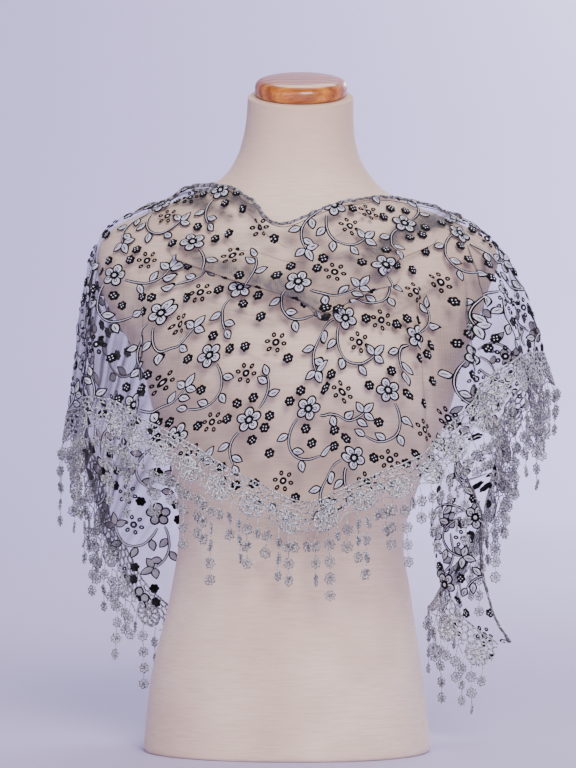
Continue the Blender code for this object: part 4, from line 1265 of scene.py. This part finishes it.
def rosette_mesh():
    """Seven loops of thread round a knot, worked flat."""
    points, faces = [], []
    for a in all_round(7):
        c, s = np.cos(a), np.sin(a)
        base = len(points)
        for x, y, z in LOOP:
            way = unit(np.array([x - LOOP_MIDDLE, y, 0]))
            for b in pi / 2 + all_round(3):
                px, py = x + LOOP_HALF * np.cos(b) * way[0], y + LOOP_HALF * np.cos(b) * way[1]
                points.append((c * px - s * py, s * px + c * py, z + LOOP_HALF * np.sin(b)))
        for i in range(4):
            here, on = base + 3 * i, base + 3 * ((i + 1) % 4)
            faces += [(here + j, on + j, on + (j + 1) % 3, here + (j + 1) % 3) for j in range(3)]
    base = len(points)
    points += [(1.5 * np.cos(a), 1.5 * np.sin(a), 0.0) for a in np.arange(6) * pi / 3]
    points += [(0, 0, 1.2), (0, 0, -1.0)]
    faces += [(base + i, base + (i + 1) % 6, base + 6) for i in range(6)]
    faces += [(base + (i + 1) % 6, base + i, base + 7) for i in range(6)]
    return mesh_piece("rosette", points, faces, [tinsel])


# One rosette at each point, turned as the point says and of uneven size.
rosette = rosette_mesh()
scatter, first_node, last_node = node_group("rosettes", [
    ("Rosette", "Object"), ("Thread", "Material"), ("Smallest", "Float"), ("Largest", "Float"),
    ("Seed", "Int")])
points_node = add_node(scatter, "GeometryNodeMeshToPoints", {"Mesh": first_node.outputs["Geometry"]})
shape_node = add_node(scatter, "GeometryNodeObjectInfo", {"Object": first_node.outputs["Rosette"]})
turn_node = add_node(scatter, "GeometryNodeInputNamedAttribute", {"Name": "turned"},
                     data_type="FLOAT_VECTOR")
size_node = add_node(scatter, "FunctionNodeRandomValue", {
    2: first_node.outputs["Smallest"], 3: first_node.outputs["Largest"],
    "Seed": first_node.outputs["Seed"]}, data_type="FLOAT")
set_node = add_node(scatter, "GeometryNodeInstanceOnPoints", {
    "Points": points_node.outputs[0], "Instance": shape_node.outputs["Geometry"],
    "Rotation": turn_node.outputs[0], "Scale": size_node.outputs[1]})
end_group(scatter, set_node.outputs[0], first_node.outputs["Thread"], last_node)

hang = np.random.default_rng(23)
for stretch, runs in STRETCHES.items():
    kinds = [(start + (end - start) * (rep + kind[0]) / repeats, *kind[1:])
             for start, end, repeats in runs for rep in range(repeats) for kind in STRANDS]
    along, strip, knot, out, counts, angles = np.array(kinds).T
    roots, tops = band_points(along, strip + ROOT_BELOW, out), band_points(along, knot)
    apart = np.gradient(roots, axis=0) * [1, 1, 0]
    middles, turned, owner = [], [], []
    for i, (root, step) in enumerate(zip(roots, apart)):
        turn = np.arccos(np.clip(1.6 * np.linalg.norm(step) / ROSETTE, 0.1, 0.97)) + hang.normal(0, 0.2)
        turn += np.radians(angles[i])
        face, sway = np.arctan2(step[1], step[0]) + turn, hang.normal(0, SWAY, 2)
        more = hang.choice((-1, 0, 0, 1 if root[2] > FULLER_ABOVE else 0)) if counts[i] > 1 else 0
        for k in range(int(counts[i]) + more):
            off = sway * (k + 1) + hang.normal(0, WANDER, 2)
            middles.append(root + (*off, -LINK - ROSETTE / 2 - k * (ROSETTE + LINK)))
            spin = face + hang.normal(0, 0.18) + (TWIST if hang.random() < TWISTED else 0)
            turned.append((pi / 2 + hang.normal(0, 0.12), hang.uniform(0, 0.9), spin))
            owner.append(i)
    middles = clear_of_form(np.array(middles), FORM_GAP + 2.4)
    chains, edges = [], []
    for k, (at, i) in enumerate(zip(middles, owner)):
        starts = k == 0 or owner[k - 1] != i
        above = tops[i] if starts else middles[k - 1] - (0, 0, HANG_ON)
        edges.append((len(chains), len(chains) + 1))
        chains += [above, at + (0, 0, HANG_ON)]
    strings = grown(f"fringe_chains_{stretch}", chains, edges,
                    [("half_thick", "FLOAT", [CHAIN_HALF * MM] * len(chains))], cord_group,
                    {"Sides": 5, "Step": 0.002, "Stray": 0.0, "Thread": tinsel})
    flowers = grown(f"fringe_rosettes_{stretch}", middles, [],
                    [("turned", "FLOAT_VECTOR", turned)], scatter,
                    {"Rosette": rosette, "Thread": tinsel, "Smallest": 0.98, "Largest": 1.12,
                     "Seed": 4})
    for piece in (strings, flowers):
        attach(piece, "root")
    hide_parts(f"fringe_{stretch}")
    worn_with[stretch] += [strings.name, flowers.name]
bpy.data.objects.remove(rosette)

# The size of each stretch of the net as it lies flat, across and down the cut.
for stretch, (first, last) in stretch_columns.items():
    low, high = (f(flat[first:last + 1].reshape(-1, 2), axis=0) for f in (np.min, np.max))
    wide, long = (float(v) * MM for v in high - low)

# ---------------------------------------------------------------------------------------------
# The studio: a round cove of pale lilac paper. A large lamp stands high in front at the right and
# a weak one low at the left, one hangs behind the form, and three light the paper at the right.
# A warm glow comes from all round.
COVE = ((5.5, 5.6), (6.6, 5.5), (6.8, 4.6), (6.8, 1.2), (6.7, 0.7), (6.4, 0.3), (5.9, 0.08),
        (5.2, 0.0), (2.0, 0.0))  # radius and height, in metres
LAMPS = [  # name, place, what it is aimed at, size, watts, tint
    ("key", (0.7, -3.1, 2.1), (0, 0, 0.4), 1.9, 156, (1.0, 0.95, 0.9)),
    ("fill", (-1.9, -3.0, 1.2), (0, 0, 0.4), 1.6, 27, (1.0, 0.97, 0.95)),
    ("crown", (0.2, 1.6, 3.0), (0, 0, 0.5), 1.5, 26, (1.0, 1.0, 1.0)),
    ("wall", (2.8, 2.6, 4.0), (2.8, 6.6, 0.5), 1.6, 220, (1.0, 1.0, 1.0)),
    ("near_wall", (1.9, 4.9, 2.6), (1.7, 6.8, 0.5), 1.0, 96, (1.0, 1.0, 1.0)),
    ("floor_glow", (1.3, 2.5, 1.8), (0.8, 2.3, 0), 1.0, 23, (1.0, 1.0, 1.0)),
]
# Uncoated paper: quite matt, so that only the light on it shows.
paper, tree, shader = new_finish("lilac_backdrop_paper", "#CCC4EA", Roughness=0.95)
turn = all_round(96)
sweep = [np.stack([r * 1000 * np.cos(turn), r * 1000 * np.sin(turn), np.full(len(turn), z * 1000.0)], -1)
         for r, z in COVE]
cove = mesh_piece("cove", *loft(sweep, close_first=False), [paper])

for name, at, target, size, watts, tint in LAMPS:
    lamp = bpy.data.lights.new(name, "AREA")
    lamp.shape, lamp.size, lamp.energy, lamp.color = "DISK", size, watts, tint
    stand = in_scene(name, lamp)
    stand.location = at
    stand.rotation_euler = (Vector(target) - Vector(at)).to_track_quat("-Z", "Y").to_euler()
world = bpy.data.worlds.new("studio")
world.use_nodes = True
glow = world.node_tree.nodes["Background"]
glow.inputs["Color"].default_value = linear("#EADFCF")
glow.inputs["Strength"].default_value = 0.34
bpy.context.scene.world = world

lens = bpy.data.cameras.new("camera")
lens.lens, lens.sensor_fit, lens.sensor_height = 140.6, "VERTICAL", 36.0
camera = in_scene("camera", lens)
camera.location, camera.rotation_euler = (-0.015, -3.0, 0.366), (pi / 2, 0, 0)
bpy.context.scene.camera = camera
